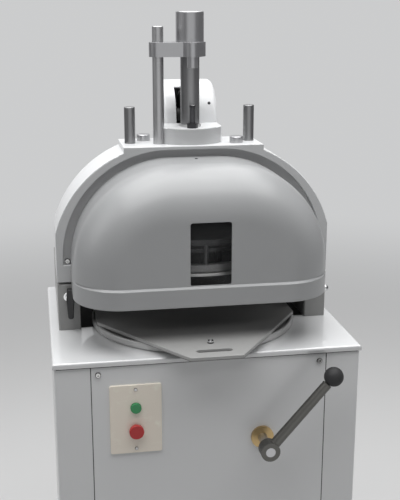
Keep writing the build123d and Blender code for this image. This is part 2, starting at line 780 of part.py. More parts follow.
def crank_shaft():
    shaft = rod_z(0, AXIS_Y, CRANK_SHAFT_R, -CRANK_SHAFT_END, WEB_LOW)
    shaft_end = CRANK_SHAFT_R + WEB_WALL
    pin_end = CRANK_PIN_R + WEB_WALL
    shaft += link((0, AXIS_Y), shaft_end, (0, TABLE_Y), pin_end, WEB_LOW, WEB_TOP)
    return shaft + rod_z(0, TABLE_Y, CRANK_PIN_R, WEB_TOP, CRANK_PIN_RISE)


def idler_crank(side):
    x = side * IDLER_X
    pin_y = IDLER_Y - ECCENTRIC
    crank = rod_z(x, IDLER_Y, IDLER_JOURNAL_R, -IDLER_END, WEB_LOW)
    journal_end = IDLER_JOURNAL_R + WEB_WALL
    pin_end = IDLER_PIN_R + WEB_WALL
    crank += link((x, IDLER_Y), journal_end, (x, pin_y), pin_end, WEB_LOW, WEB_TOP)
    return crank + rod_z(x, pin_y, IDLER_PIN_R, WEB_TOP, CRANK_PIN_RISE)


def round_table():
    """Disc with a thin rim and a trough round the land that carries the dough plate."""
    table = rod_z(0, TABLE_Y, TABLE_R, TABLE_LIFT, TABLE_TOP)
    table = fillet(table.edges().group_by(Axis.Z)[-1], TABLE_ROUND)
    table -= tube_z(0, TABLE_Y, TABLE_R - TABLE_LIP, LAND_R, TABLE_TOP - TROUGH_DEPTH, TABLE_TOP)
    table += rod_z(0, TABLE_Y, HUB_R, -HUB_DROP, TABLE_LIFT)
    for side in (-1, 1):
        table += rod_z(side * IDLER_X, IDLER_Y - ECCENTRIC, SOCKET_R, -HUB_DROP, TABLE_LIFT)
        rear = sqrt(STOP_PIN_RADIUS ** 2 - STOP_PIN_X ** 2)
        table += rod_z(side * STOP_PIN_X, TABLE_Y + rear, STOP_PIN_R, TABLE_LIFT, TABLE_TOP + STOP_PIN_RISE)
    bore_top = CRANK_PIN_RISE + HUB_GAP
    table -= rod_z(0, TABLE_Y, CRANK_PIN_R + RUN, -HUB_DROP, bore_top)
    for side in (-1, 1):
        table -= rod_z(side * IDLER_X, IDLER_Y - ECCENTRIC, IDLER_PIN_R + PIVOT_GAP, -HUB_DROP, bore_top)
    return table


def pulley(y, radius, bore):
    wheel = rod_z(0, y, radius, -PULLEY_DROP - PULLEY / 2, -PULLEY_DROP + PULLEY / 2)
    groove = tube_z(0, y, radius, radius - GROOVE_DEPTH, -PULLEY_DROP - GROOVE / 2, -PULLEY_DROP + GROOVE / 2)
    wheel -= groove
    return wheel - rod_z(0, y, bore, -PULLEY_DROP - PULLEY, -PULLEY_DROP + PULLEY) if bore else wheel


def driven_pulley():
    wheel = pulley(AXIS_Y, PULLEY_R, CRANK_SHAFT_R)
    hub_low = -PULLEY_DROP - PULLEY_HUB / 2
    return wheel + tube_z(0, AXIS_Y, PULLEY_HUB_R, CRANK_SHAFT_R, hub_low, hub_low + PULLEY_HUB)


def motor_pulley():
    low = SHELF_TOP - SHELF - MOTOR_SHAFT_DEPTH + 2 * FACE_GAP
    high = -PULLEY_DROP + PULLEY / 2 + PANEL
    return pulley(MOTOR_Y, MOTOR_PULLEY_R, 0) + rod_z(0, MOTOR_Y, MOTOR_SHAFT_R, low, high)


def drive_belt():
    inner_big = PULLEY_R - GROOVE_DEPTH + FACE_GAP
    inner_small = MOTOR_PULLEY_R - GROOVE_DEPTH + FACE_GAP
    z0 = -PULLEY_DROP - BELT / 2
    axis = (0, AXIS_Y)
    motor = (0, MOTOR_Y)
    outer = link(axis, inner_big + BELT_DEPTH, motor, inner_small + BELT_DEPTH, z0, z0 + BELT)
    return outer - link(axis, inner_big, motor, inner_small, z0, z0 + BELT)


def drive_motor():
    top = SHELF_TOP - SHELF
    motor = rod_z(0, MOTOR_Y, MOTOR_R, top - MOTOR_LENGTH, top)
    motor = fillet(motor.edges().group_by(Axis.Z)[0], MOTOR_R / 6)
    motor += rod_z(0, MOTOR_Y, MOTOR_FLANGE_R, top - MOTOR_FLANGE, top)
    motor += rod_z(0, MOTOR_Y, MOTOR_SPIGOT_R, top, top + MOTOR_SPIGOT)
    return motor - rod_z(0, MOTOR_Y, MOTOR_SHAFT_R + RUN, top - MOTOR_SHAFT_DEPTH, top + MOTOR_SPIGOT)


# Dough plate
def dough_plate():
    edges = Curve() + [
        ThreePointArc((PLATE_R, TABLE_Y), (0, TABLE_Y + PLATE_R), (-PLATE_R, TABLE_Y)),
        Polyline(
            (-PLATE_R, TABLE_Y),
            (-PLATE_R, PLATE_CORNER_Y),
            (-PLATE_FRONT_HALF, PLATE_FRONT_Y),
            (PLATE_FRONT_HALF, PLATE_FRONT_Y),
            (PLATE_R, PLATE_CORNER_Y),
            (PLATE_R, TABLE_Y),
        ),
    ]
    plate = upwards(Pos(0, 0, TABLE_TOP) * make_face(edges), PLATE)
    plate = chamfer(plate.edges().group_by(Axis.Z)[-1], PLATE / 8)
    plate += rod_z(0, EYELET_Y, EYELET_R, TABLE_TOP + PLATE / 2, PLATE_TOP + EYELET_RISE)
    plate -= rod_z(0, EYELET_Y, EYELET_HOLE_R, TABLE_TOP, PLATE_TOP + EYELET_RISE)
    plate -= upwards(Pos(0, SLOT_Y, TABLE_TOP) * SlotOverall(SLOT_LENGTH, SLOT_WIDTH), PLATE)
    pin_y = TABLE_Y + sqrt(STOP_PIN_RADIUS ** 2 - STOP_PIN_X ** 2)
    notch_r = STOP_PIN_R + NOTCH_GAP
    reach = TABLE_Y + PLATE_R - pin_y
    notch = Circle(notch_r) + Pos(0, reach / 2) * Rectangle(2 * notch_r, reach)
    for side in (-1, 1):
        plate -= upwards(Pos(side * STOP_PIN_X, pin_y, TABLE_TOP) * notch, PLATE)
    return plate


# Pedestals and latch
def pedestal():
    """Hollow casting, open below, with a rest pad for the head and a hinge lug at its rear."""
    body = block(PEDESTAL_INNER, ARCH_HALF, PEDESTAL_FRONT, PEDESTAL_REAR, 0, PEDESTAL_HEIGHT)
    body = fillet(body.edges().filter_by(Axis.Z).group_by(Axis.Y)[0], PEDESTAL_ROUND)
    body -= block(PEDESTAL_INNER + PEDESTAL_WALL, ARCH_HALF - PEDESTAL_WALL, PEDESTAL_FRONT + PEDESTAL_WALL,
                  PEDESTAL_REAR - PEDESTAL_WALL, 0, PEDESTAL_HEIGHT - PEDESTAL_WALL)
    body += rod_z(PEDESTAL_MID, REST_PAD_Y, REST_PAD_R, PEDESTAL_HEIGHT, HEAD_LOW)
    lug_inner = ARM_OUTER + ARM_GAP
    body += rod_x(HINGE_Y, HINGE_Z, HINGE_EYE_R, lug_inner, LUG_OUTER)
    lug_front = HINGE_Y - HINGE_EYE_R
    body += block(lug_inner, LUG_OUTER, lug_front, HINGE_Y + HINGE_EYE_R, PEDESTAL_HEIGHT, HINGE_Z)
    return body - rod_x(HINGE_Y, HINGE_Z, HINGE_PIN_R, lug_inner, LUG_OUTER)


def left_pedestal():
    body = mirrored(pedestal())
    body -= rod_y(LATCH_X, LATCH_Z, SPINDLE_R + RUN, PEDESTAL_FRONT, PEDESTAL_FRONT + PEDESTAL_WALL)
    slot_front = NOSE_Y - STRIKER_WIDTH / 2 - STRIKER_SWING
    slot_rear = NOSE_Y + STRIKER_WIDTH / 2 + 2 * STRIKER_GAP
    return body - block(STRIKER_X - STRIKER - STRIKER_GAP, STRIKER_X + STRIKER_GAP, slot_front, slot_rear,
                        PEDESTAL_HEIGHT - PEDESTAL_WALL, PEDESTAL_HEIGHT)


def hinge_pins():
    return pair(rod_x(HINGE_Y, HINGE_Z, HINGE_PIN_R, ARM_INNER, LUG_OUTER))


def rear_guard():
    return block(-PEDESTAL_INNER, PEDESTAL_INNER, PEDESTAL_REAR - GUARD, PEDESTAL_REAR, 0, GUARD_HEIGHT)


def dome_nut():
    nut = rod_x(DOME_NUT_Y, DOME_NUT_Z, DOME_NUT_R, ARCH_HALF, ARCH_HALF + DOME_NUT_WASHER)
    ball = Pos(ARCH_HALF + DOME_NUT_WASHER, DOME_NUT_Y, DOME_NUT_Z) * Sphere(DOME_NUT_R - DOME_NUT_WASHER / 2)
    reach = ARCH_HALF + DOME_NUT_WASHER
    return nut + (ball & block(reach, reach + DOME_NUT_R, DOME_NUT_Y - DOME_NUT_R, DOME_NUT_Y + DOME_NUT_R,
                               DOME_NUT_Z - DOME_NUT_R, DOME_NUT_Z + DOME_NUT_R))


def latch_lever():
    """Tapered black handle that hangs from its spindle in front of the left pedestal."""
    front = PEDESTAL_FRONT - WASHER - LATCH_THICK
    middle = LATCH_X + LATCH_SHIFT
    outline = Polyline(
        (middle - LATCH_TOP_WIDTH / 2, LATCH_Z + LATCH_TOP),
        (middle + LATCH_TOP_WIDTH / 2, LATCH_Z + LATCH_TOP),
        (middle + LATCH_MID_WIDTH / 2, LATCH_Z - SPINDLE_R),
        (middle + LATCH_LOW_WIDTH / 2, LATCH_Z - LATCH_DROP),
        (middle - LATCH_LOW_WIDTH / 2, LATCH_Z - LATCH_DROP),
        (middle - LATCH_MID_WIDTH / 2, LATCH_Z - SPINDLE_R),
        close=True,
    )
    handle = backwards(facing(front) * make_face(outline), LATCH_THICK)
    handle = fillet(handle.edges().filter_by(Axis.Y).group_by(Axis.Z)[0], LATCH_TIP_ROUND)
    handle = fillet(handle.edges().group_by(Axis.Y)[0], LATCH_ROUND)
    return handle - rod_y(LATCH_X, LATCH_Z, SPINDLE_R, front + LATCH_THICK / 2, front + LATCH_THICK)


def latch_spindle():
    front = PEDESTAL_FRONT - WASHER - LATCH_THICK
    nose_y = NOSE_Y - NOSE / 2
    spindle = rod_y(LATCH_X, LATCH_Z, SPINDLE_R, front + LATCH_THICK / 2, nose_y + NOSE)
    spindle += rod_y(LATCH_X, LATCH_Z, WASHER_R, front + LATCH_THICK, PEDESTAL_FRONT - PIVOT_GAP)
    nose_low = LATCH_Z - NOSE_REACH
    return spindle + block(LATCH_X - NOSE_HALF, LATCH_X + NOSE_HALF, nose_y, nose_y + NOSE, nose_low, LATCH_Z)


# Head castings and covers
def striker():
    y0 = NOSE_Y - STRIKER_WIDTH / 2
    y1 = NOSE_Y + STRIKER_WIDTH / 2
    outer = STRIKER_X - STRIKER
    plate = block(outer, STRIKER_X, y0, y1, HEAD_LOW - STRIKER_DROP, HEAD_LOW)
    edge = (STRIKER_WIDTH - NOSE) / 4
    return plate - block(outer, STRIKER_X, y0 + edge, y1 - edge, STRIKER_WINDOW_LOW, STRIKER_WINDOW_HIGH)


def hinge_arm():
    arm = block(ARM_INNER, ARM_OUTER, ARCH_REAR, HINGE_Y, HEAD_LOW, HEAD_LOW + ARM_HEIGHT)
    arm += rod_x(HINGE_Y, HINGE_Z, HINGE_EYE_R, ARM_INNER, ARM_OUTER)
    return arm - rod_x(HINGE_Y, HINGE_Z, HINGE_PIN_R + RUN, ARM_INNER, ARM_OUTER)


def pinion_pocket():
    side = PINION_HALF + PINION_POCKET
    reach = PINION_TIP_R + PINION_POCKET
    return block(-side, side, PINION_Y - reach, PINION_Y + reach, PINION_Z - reach, PINION_Z + reach)


def bridge_face():
    """Arch's own outline: straight sides, a slight kink, and round shoulders that run into the pad."""
    shoulder = ARCH_TOP - SHOULDER_DROP
    run = PAD_HALF - PAD_LAP
    edges = Curve() + [
        Line((-ARCH_HALF, HEAD_LOW), (-ARCH_HALF, ARCH_KINK)),
        RadiusArc((-ARCH_HALF, ARCH_KINK), (-run, shoulder), ARCH_ROUND),
        Line((-run, shoulder), (run, shoulder)),
        RadiusArc((run, shoulder), (ARCH_HALF, ARCH_KINK), ARCH_ROUND),
        Line((ARCH_HALF, ARCH_KINK), (ARCH_HALF, HEAD_LOW)),
        Line((ARCH_HALF, HEAD_LOW), (-ARCH_HALF, HEAD_LOW)),
    ]
    return make_face(edges)


def arch_bridge():
    front = facing(PEDESTAL_FRONT)
    arch = backwards(front * bridge_face(), ARCH_DEPTH)
    ends = arch.edges().group_by(Axis.Y)
    rims = [edge for edge in ends[0] + ends[-1] if abs(edge.center().X) > PAD_HALF]
    arch = fillet(rims, ARCH_EDGE)
    pad = block(-PAD_HALF, PAD_HALF, PEDESTAL_FRONT, ARCH_REAR, OPENING_TOP, PAD_TOP)
    arch += fillet(pad.edges().group_by(Axis.Z)[-1].sort_by(Axis.Y)[:-1], PAD_EDGE)
    shelf_left, shelf_right = HOOD_X - HOOD_HALF, HOOD_X + HOOD_HALF
    arch += block(shelf_left, shelf_right, ARCH_REAR, REAR_SHELF_Y, PAD_TOP - REAR_SHELF, PAD_TOP)
    arch += hinge_arm() + mirrored(hinge_arm())
    arch -= backwards(front * arch_face(OPENING_HALF, OPENING_TOP, OPENING_ROUND, HEAD_LOW), ARCH_DEPTH)
    arch -= backwards(front * arch_face(RECESS_HALF, ARCH_TOP, RECESS_ROUND, RECESS_LOW), RECESS_DEPTH)
    screw_end = PEDESTAL_FRONT + 2 * RECESS_DEPTH
    arch -= rod_z(0, AXIS_Y, RAM_R + FACE_GAP, OPENING_TOP, PAD_TOP)
    for side in (-1, 1):
        arch -= rod_z(side * GUIDE_POST_X, GUIDE_POST_Y, GUIDE_POST_R + RUN, CARRIAGE_TOP, PAD_TOP)
        arch -= screw_hole(side * COVER_SCREW_X, COVER_SCREW_Z, PEDESTAL_FRONT, screw_end)
    arch -= rod_z(GEARBOX_MID, PRESS_MOTOR_Y, PRESS_NECK_R + PRESS_NECK_GAP, PAD_TOP - REAR_SHELF, PAD_TOP)
    return arch - pinion_pocket() + striker()


def dome(half, top, corner, front, back, face_half, face_top, face_corner, low):
    """Solid that swells on quarter ellipses from a flat face at front to a full arch section at back."""
    sections = []
    for angle in (0, 12, 25, 40, 55, 72, 90):
        grow = sin(radians(angle))
        y = back + (front - back) * cos(radians(angle))
        outline = arch_face(
            face_half + (half - face_half) * grow,
            face_top + (top - face_top) * grow,
            face_corner + (corner - face_corner) * grow,
            low,
        )
        sections.append(facing(y) * outline)
    return loft(sections)


def skirt_face(shrink, rear):
    """Plan outline of the skirt, smaller by shrink, with quarter-ellipse corners and a straight front."""
    half = COVER_HALF + SKIRT_STEP - shrink
    front = COVER_FRONT - LEDGE + shrink
    corner_x = COVER_CORNER + SKIRT_STEP - shrink
    corner_y = COVER_BLEND + LEDGE - shrink
    run = half - corner_x
    turn = front + corner_y
    edges = Curve() + [
        Line((-half, rear), (-half, turn)),
        EllipticalCenterArc((-run, turn), corner_x, corner_y, start_angle=180, arc_size=90),
        Line((-run, front), (run, front)),
        EllipticalCenterArc((run, turn), corner_x, corner_y, start_angle=270, arc_size=90),
        Line((half, turn), (half, rear)),
        Line((half, rear), (-half, rear)),
    ]
    return make_face(edges)


def cover_form(shrink, low):
    """Front cover's form, smaller all round by shrink: the swelling front and the straight part behind it."""
    back = COVER_FRONT + COVER_BLEND
    half = COVER_HALF - shrink
    top = COVER_TOP - shrink
    corner = COVER_ROUND - shrink
    front = dome(
        half,
        top,
        corner,
        COVER_FRONT + shrink,
        back,
        COVER_FACE_HALF - shrink,
        COVER_FACE_TOP - shrink,
        COVER_FACE_ROUND - shrink,
        low,
    )
    seat = PEDESTAL_FRONT + RECESS_DEPTH
    return front + backwards(facing(back) * arch_face(half, top, corner, low), seat - back)


def front_cover():
    shell = cover_form(0, LEDGE_Z)
    rear = PEDESTAL_FRONT - SKIRT_CLEAR
    below_recess = RECESS_LOW + COVER_SEAT_RISE
    shell -= block(-ARCH_HALF, ARCH_HALF, rear, ARCH_REAR, LEDGE_Z, below_recess)
    slope_low = LEDGE_Z - LEDGE_SLOPE
    shell += upwards(Pos(0, 0, SKIRT_LOW) * skirt_face(0, rear), slope_low - SKIRT_LOW)
    slope = [Pos(0, 0, slope_low) * skirt_face(0, rear), Pos(0, 0, LEDGE_Z) * skirt_face(LEDGE_SLOPE, rear)]
    shell += loft(slope)
    shell -= cover_form(COVER_WALL, SKIRT_LOW)
    middle = (WINDOW_LOW + WINDOW_HIGH) / 2
    pane_hole = RectangleRounded(WINDOW_WIDTH, WINDOW_HIGH - WINDOW_LOW, WINDOW_ROUND)
    start = COVER_FRONT - 2 * LEDGE
    return shell - backwards(facing(start) * Pos(WINDOW_X, middle) * pane_hole, 2 * LEDGE + 2 * COVER_WALL)


def window_pane():
    """Clear sheet behind the window, whose front follows the inside of the cover."""
    half = WINDOW_WIDTH / 2 + PANE_MARGIN
    rear = COVER_FRONT + COVER_WALL + PANE
    low = WINDOW_LOW - PANE_MARGIN
    sheet = block(WINDOW_X - half, WINDOW_X + half, COVER_FRONT, rear, low, WINDOW_HIGH + PANE_MARGIN)
    return sheet & cover_form(COVER_WALL, SKIRT_LOW)


def rear_form(shrink):
    start = REAR_COVER_Y - REAR_COVER_BLEND
    half = REAR_COVER_HALF - shrink
    top = REAR_COVER_TOP - shrink
    corner = REAR_COVER_ROUND - shrink
    form = dome(
        half,
        top,
        corner,
        REAR_COVER_Y - shrink,
        start,
        REAR_FACE_HALF - shrink,
        REAR_FACE_TOP - shrink,
        REAR_FACE_ROUND - shrink,
        REAR_COVER_LOW,
    )
    section = facing(ARCH_REAR) * arch_face(half, top, corner, REAR_COVER_LOW)
    return form + backwards(section, start - ARCH_REAR)


def rear_cover():
    shell = rear_form(0) - rear_form(COVER_WALL)
    return shell - rod_z(GEARBOX_MID, PRESS_MOTOR_Y, PRESS_NECK_R + PRESS_NECK_GAP, REAR_FACE_TOP, PAD_TOP)


def cover_screws():
    return pair(button_screw(COVER_SCREW_X, COVER_SCREW_Z, PEDESTAL_FRONT + RECESS_DEPTH, 1))


# Pad fittings
def ram_boss():
    edges = Curve() + [
        ThreePointArc((-BOSS_HALF, BOSS_SIDE_Y), (0, BOSS_FRONT), (BOSS_HALF, BOSS_SIDE_Y)),
        Polyline(
            (BOSS_HALF, BOSS_SIDE_Y),
            (BOSS_HALF, BOSS_REAR),
            (-BOSS_HALF, BOSS_REAR),
            (-BOSS_HALF, BOSS_SIDE_Y),
        ),
    ]
    boss = upwards(Pos(0, 0, PAD_TOP) * make_face(edges), BOSS_HEIGHT)
    boss = chamfer(boss.edges().group_by(Axis.Z)[-1].sort_by(Axis.Y)[:-1], BOSS_EDGE)
    boss -= rod_z(0, AXIS_Y, RAM_R + RUN, PAD_TOP, BOSS_TOP)
    boss -= rod_z(TALL_POST_X, TALL_POST_Y, TALL_POST_R, PAD_TOP, BOSS_TOP)
    return boss - pinion_pocket()


def ram_seal():
    seal = tube_z(0, AXIS_Y, RAM_R + SEAL_WALL, RAM_R + RUN, BOSS_TOP, BOSS_TOP + SEAL_HEIGHT)
    return seal - pinion_pocket()


def tall_post():
    post = rod_z(TALL_POST_X, TALL_POST_Y, TALL_POST_R, PAD_TOP, TALL_POST_TOP)
    return chamfer(post.edges().group_by(Axis.Z)[-1], TALL_POST_R / 10)


def pad_caps():
    caps = []
    for side in (-1, 1):
        cap = rod_z(side * CAP_X, CAP_Y - side * CAP_SHIFT, CAP_R, PAD_TOP, PAD_TOP + CAP_HEIGHT)
        caps.append(chamfer(cap.edges().group_by(Axis.Z)[-1], CAP_HEIGHT / 10))
    return Compound(children=caps)


def depth_stop():
    nut = Pos(STOP_X, STOP_Y, BOSS_TOP) * RegularPolygon(STOP_NUT / 2, 6, major_radius=False)
    nut = upwards(nut, STOP_NUT_HEIGHT) - rod_z(STOP_X, STOP_Y, STOP_R, BOSS_TOP, BOSS_TOP + STOP_NUT_HEIGHT)
    screw = rod_z(STOP_X, STOP_Y, STOP_R, BOSS_TOP, BOSS_TOP + STOP_RISE)
    screw += rod_z(STOP_X, STOP_Y, STOP_HEAD_R, STOP_TOP - STOP_HEAD, STOP_TOP)
    return Compound(children=[screw, nut])


# Rack drive
def hood_solid(shrink):
    face = Pos(HOOD_Y, HOOD_Z) * Circle(HOOD_R - shrink)
    height = HOOD_Z - PAD_TOP
    face &= Pos(HOOD_Y, HOOD_Z + HOOD_R / 2) * Rectangle(2 * HOOD_R, HOOD_R)
    face += Pos(HOOD_Y, HOOD_Z - height / 2) * Rectangle(2 * (HOOD_R - shrink), height)
    half = HOOD_HALF - shrink
    solid = extrude(Plane.YZ.offset(HOOD_X) * face, amount=half, both=True)
    sides = solid.edges().group_by(Axis.X)
    rims = [edge for edge in sides[0] + sides[-1] if edge.center().Z > PAD_TOP + HOOD_ROUND]
    return fillet(rims, HOOD_ROUND - shrink)


def gear_hood():
    hood = hood_solid(0) - hood_solid(HOOD_WALL)
    top = HOOD_Z + HOOD_R
    return hood - block(-HOOD_SLOT_HALF, HOOD_SLOT_HALF, HOOD_FRONT, HOOD_SLOT_REAR, PAD_TOP, top)


def tooth_half_angle(radius):
    """Half the angle that a tooth spans at a radius, on an involute from the base circle."""
    base = PITCH_R * cos(radians(PRESSURE_ANGLE))
    lean = radians(PRESSURE_ANGLE)
    at_pitch = (TOOTH_PITCH / 2 - BACKLASH) / 2 / PITCH_R + tan(lean) - lean
    open_angle = acos(min(1.0, base / radius))
    return at_pitch - tan(open_angle) + open_angle


def press_pinion():
    steps = (PINION_ROOT_R, PITCH_R - MODULE / 2, PITCH_R, PITCH_R + MODULE / 2, PINION_TIP_R)
    flank = [(radius, tooth_half_angle(radius)) for radius in steps]
    points = []
    for tooth in range(PINION_TEETH):
        centre = 2 * pi * tooth / PINION_TEETH + pi
        points += [(r * cos(centre - a), r * sin(centre - a)) for r, a in flank]
        points += [(r * cos(centre + a), r * sin(centre + a)) for r, a in reversed(flank)]
    face = Plane.YZ * Pos(PINION_Y, PINION_Z) * make_face(Polyline(*points, close=True))
    gear = extrude(face, amount=PINION_HALF, both=True)
    gear += rod_x(PINION_Y, PINION_Z, PINION_HUB_R, -PINION_HUB_HALF, PINION_HUB_HALF)
    return gear + rod_x(PINION_Y, PINION_Z, PINION_SHAFT_R, -PINION_SHAFT_LEFT, PINION_SHAFT_RIGHT)


def bearing_block(x0, x1, rear):
    front = PINION_Y - PINION_SHAFT_R - BEARING_WALL
    body = block(x0, x1, front, rear, PAD_TOP, BEARING_TOP)
    return body - rod_x(PINION_Y, PINION_Z, PINION_SHAFT_R + RUN, x0, x1)


def pinion_bearing():
    return bearing_block(-PINION_SHAFT_LEFT, BEARING_WIDTH - PINION_SHAFT_LEFT, BEARING_REAR)


def press_motor():
    motor = bearing_block(GEARBOX_INNER, GEARBOX_OUTER, GEARBOX_REAR)
    motor += rod_z(GEARBOX_MID, PRESS_MOTOR_Y, PRESS_NECK_R, PRESS_MOTOR_HIGH, PAD_TOP)
    body = rod_z(GEARBOX_MID, PRESS_MOTOR_Y, PRESS_MOTOR_R, PRESS_MOTOR_LOW, PRESS_MOTOR_HIGH)
    return motor + fillet(body.edges().group_by(Axis.Z)[0], PRESS_MOTOR_R / 6)


def rack_gap(z):
    """Straight-sided space between two rack teeth, as wide at the pitch line as half the pitch."""
    lean = tan(radians(PRESSURE_ANGLE))
    root = -ROOT_FACTOR * MODULE
    clear = 2 * MODULE
    width = TOOTH_PITCH / 4
    outline = Polyline(
        (RACK_Y + root, z - width - root * lean),
        (RACK_Y + clear, z - width - clear * lean),
        (RACK_Y + clear, z + width + clear * lean),
        (RACK_Y + root, z + width + root * lean),
        close=True,
    )
    return extrude(Plane.YZ * make_face(outline), amount=RACK_HALF, both=True)


def ram():
    column = rod_z(0, AXIS_Y, RAM_R, CARRIAGE_LOW, RAM_TOP)
    low = PINION_Z - (RACK_BELOW + 0.5) * TOOTH_PITCH
    high = PINION_Z + (RACK_ABOVE + 0.5) * TOOTH_PITCH
    column -= block(-RACK_HALF, RACK_HALF, RACK_Y + MODULE, AXIS_Y + RAM_R, low, high)
    for step in range(-RACK_BELOW, RACK_ABOVE + 1):
        column -= rack_gap(PINION_Z + step * TOOTH_PITCH)
    return column - rod_z(0, AXIS_Y, RAM_BORE_R, CARRIAGE_LOW, RAM_TOP)


# Press
def carriage():
    plate = rod_z(0, AXIS_Y, CARRIAGE_R, CARRIAGE_LOW, CARRIAGE_TOP)
    plate += rod_z(0, AXIS_Y, CARRIAGE_HUB_R, CARRIAGE_TOP, CARRIAGE_TOP + CARRIAGE_HUB)
    return plate - rod_z(0, AXIS_Y, RAM_R, CARRIAGE_LOW, CARRIAGE_TOP + CARRIAGE_HUB)


def guide_posts():
    post = rod_z(GUIDE_POST_X, GUIDE_POST_Y, GUIDE_POST_R, CARRIAGE_TOP, GUIDE_POST_TOP)
    return pair(chamfer(post.edges().group_by(Axis.Z)[-1], GUIDE_POST_R / 10))


def dough_ring():
    ring = rod_z(0, AXIS_Y, RING_R, RING_LOW, RING_TOP)
    ring += rod_z(0, AXIS_Y, RING_FLANGE_R, RING_FLANGE_LOW, RING_FLANGE_LOW + RING_FLANGE)
    ring += rod_z(0, AXIS_Y, RING_BAND_R, RING_TOP - RING_BAND, RING_TOP)
    ring -= rod_z(0, AXIS_Y, RING_BORE_R, RING_LOW, RING_TOP)
    radius = (RING_BORE_R + RING_BAND_R) / 2
    for index in range(PILLAR_COUNT):
        angle = 2 * pi * (index + 0.5) / PILLAR_COUNT
        x = radius * cos(angle)
        y = AXIS_Y + radius * sin(angle)
        ring += rod_z(x, y, PILLAR_R, RING_TOP, CARRIAGE_LOW)
    return ring


def cell_circles():
    """Edges of the rings of cells, so that every cell has the same area."""
    total = sum(CELLS)
    edges = [0.0]
    for index in range(len(CELLS)):
        edges.append(CELL_EDGE_R * sqrt(sum(CELLS[: index + 1]) / total))
    return edges


def cell_face(inner, outer, start, end):
    """Sector between two circles, drawn in by half the gap on its two straight sides."""
    half_gap = CELL_GAP / 2
    inner_trim = degrees(asin(half_gap / inner))
    outer_trim = degrees(asin(half_gap / outer))
    inner_arc = CenterArc((0, 0), inner, start + inner_trim, end - start - 2 * inner_trim)
    outer_arc = CenterArc((0, 0), outer, start + outer_trim, end - start - 2 * outer_trim)
    sides = [Line(inner_arc @ 0, outer_arc @ 0), Line(inner_arc @ 1, outer_arc @ 1)]
    return make_face(Curve() + [inner_arc, outer_arc] + sides)


def cells():
    """Every cell as its inner and outer radius and its start and end angle."""
    edges = cell_circles()
    result = []
    for index, count in enumerate(CELLS):
        inner = edges[index] + CELL_GAP / 2 if index else CELL_TIP_R
        outer = edges[index + 1] - CELL_GAP / 2 if index + 1 < len(CELLS) else edges[index + 1]
        for cell in range(count):
            result.append((inner, outer, 360 * cell / count, 360 * (cell + 1) / count))
    return result


def stud_place(cell):
    inner, outer, start, end = cell
    radius = (inner + outer) / 2
    angle = radians((start + end) / 2)
    return radius * cos(angle), AXIS_Y + radius * sin(angle)


def plungers():
    result = []
    for cell in cells():
        x, y = stud_place(cell)
        foot = upwards(Pos(0, AXIS_Y, PLUNGER_LOW) * cell_face(*cell), PLUNGER)
        result.append(foot + rod_z(x, y, STUD_R, PLUNGER_LOW + PLUNGER, CARRIAGE_LOW))
    return Compound(children=result)


def crosshead():
    ram_at = (0, AXIS_Y)
    post_at = (TALL_POST_X, TALL_POST_Y)
    stop_at = (STOP_X, STOP_Y)
    head = link(ram_at, CROSSHEAD_RAM_R, post_at, CROSSHEAD_POST_R, CROSSHEAD_LOW, RAM_TOP)
    head += link(ram_at, CROSSHEAD_RAM_R, stop_at, CROSSHEAD_STOP_R, CROSSHEAD_LOW, RAM_TOP)
    head += rod_z(STOP_X, STOP_Y, STOP_FOOT_R, STOP_TOP + PRESS_STROKE + STOP_CLEAR, CROSSHEAD_LOW)
    head -= rod_z(0, AXIS_Y, RAM_R, CROSSHEAD_LOW, RAM_TOP)
    return head - rod_z(TALL_POST_X, TALL_POST_Y, TALL_POST_R + RUN, CROSSHEAD_LOW, RAM_TOP)


def knife_cylinder():
    top = RAM_TOP + CYLINDER_HEIGHT
    body = rod_z(0, AXIS_Y, CYLINDER_R, RAM_TOP, top)
    body = fillet(body.edges().group_by(Axis.Z)[-1], CYLINDER_WALL / 2)
    inside = CYLINDER_R - CYLINDER_WALL
    body -= rod_z(0, AXIS_Y, inside, RAM_TOP + CYLINDER_WALL, top - CYLINDER_WALL)
    return body - rod_z(0, AXIS_Y, RAM_BORE_R, RAM_TOP, RAM_TOP + CYLINDER_WALL)


# Knife
def knife_grid():
    grid = rod_z(0, 0, SPIDER_R, SPIDER_LOW, SPIDER_LOW + SPIDER)
    grid += rod_z(0, 0, SPIDER_HUB_R, SPIDER_LOW + SPIDER, SPIDER_LOW + SPIDER + SPIDER_HUB)
    edges = cell_circles()
    for radius in edges[1:-1]:
        grid += tube_z(0, 0, radius + BLADE / 2, radius - BLADE / 2, BLADE_LOW, SPIDER_LOW)
    for index, count in enumerate(CELLS):
        outer = edges[index + 1] if index + 1 < len(CELLS) else SPIDER_R - BLADE
        blade = block(edges[index], outer, -BLADE / 2, BLADE / 2, BLADE_LOW, SPIDER_LOW)
        for step in range(count):
            grid += Rot(0, 0, 360 * step / count) * blade
    grid = Pos(0, AXIS_Y, 0) * grid
    for cell in cells():
        x, y = stud_place(cell)
        grid -= rod_z(x, y, STUD_R + STUD_GAP, SPIDER_LOW, SPIDER_LOW + SPIDER)
    return grid


def knife_rod():
    low = SPIDER_LOW + SPIDER + SPIDER_HUB
    rod = rod_z(0, AXIS_Y, KNIFE_ROD_R, low, PISTON_TOP)
    return rod + rod_z(0, AXIS_Y, CYLINDER_R - CYLINDER_WALL - RUN, PISTON_TOP - PISTON, PISTON_TOP)


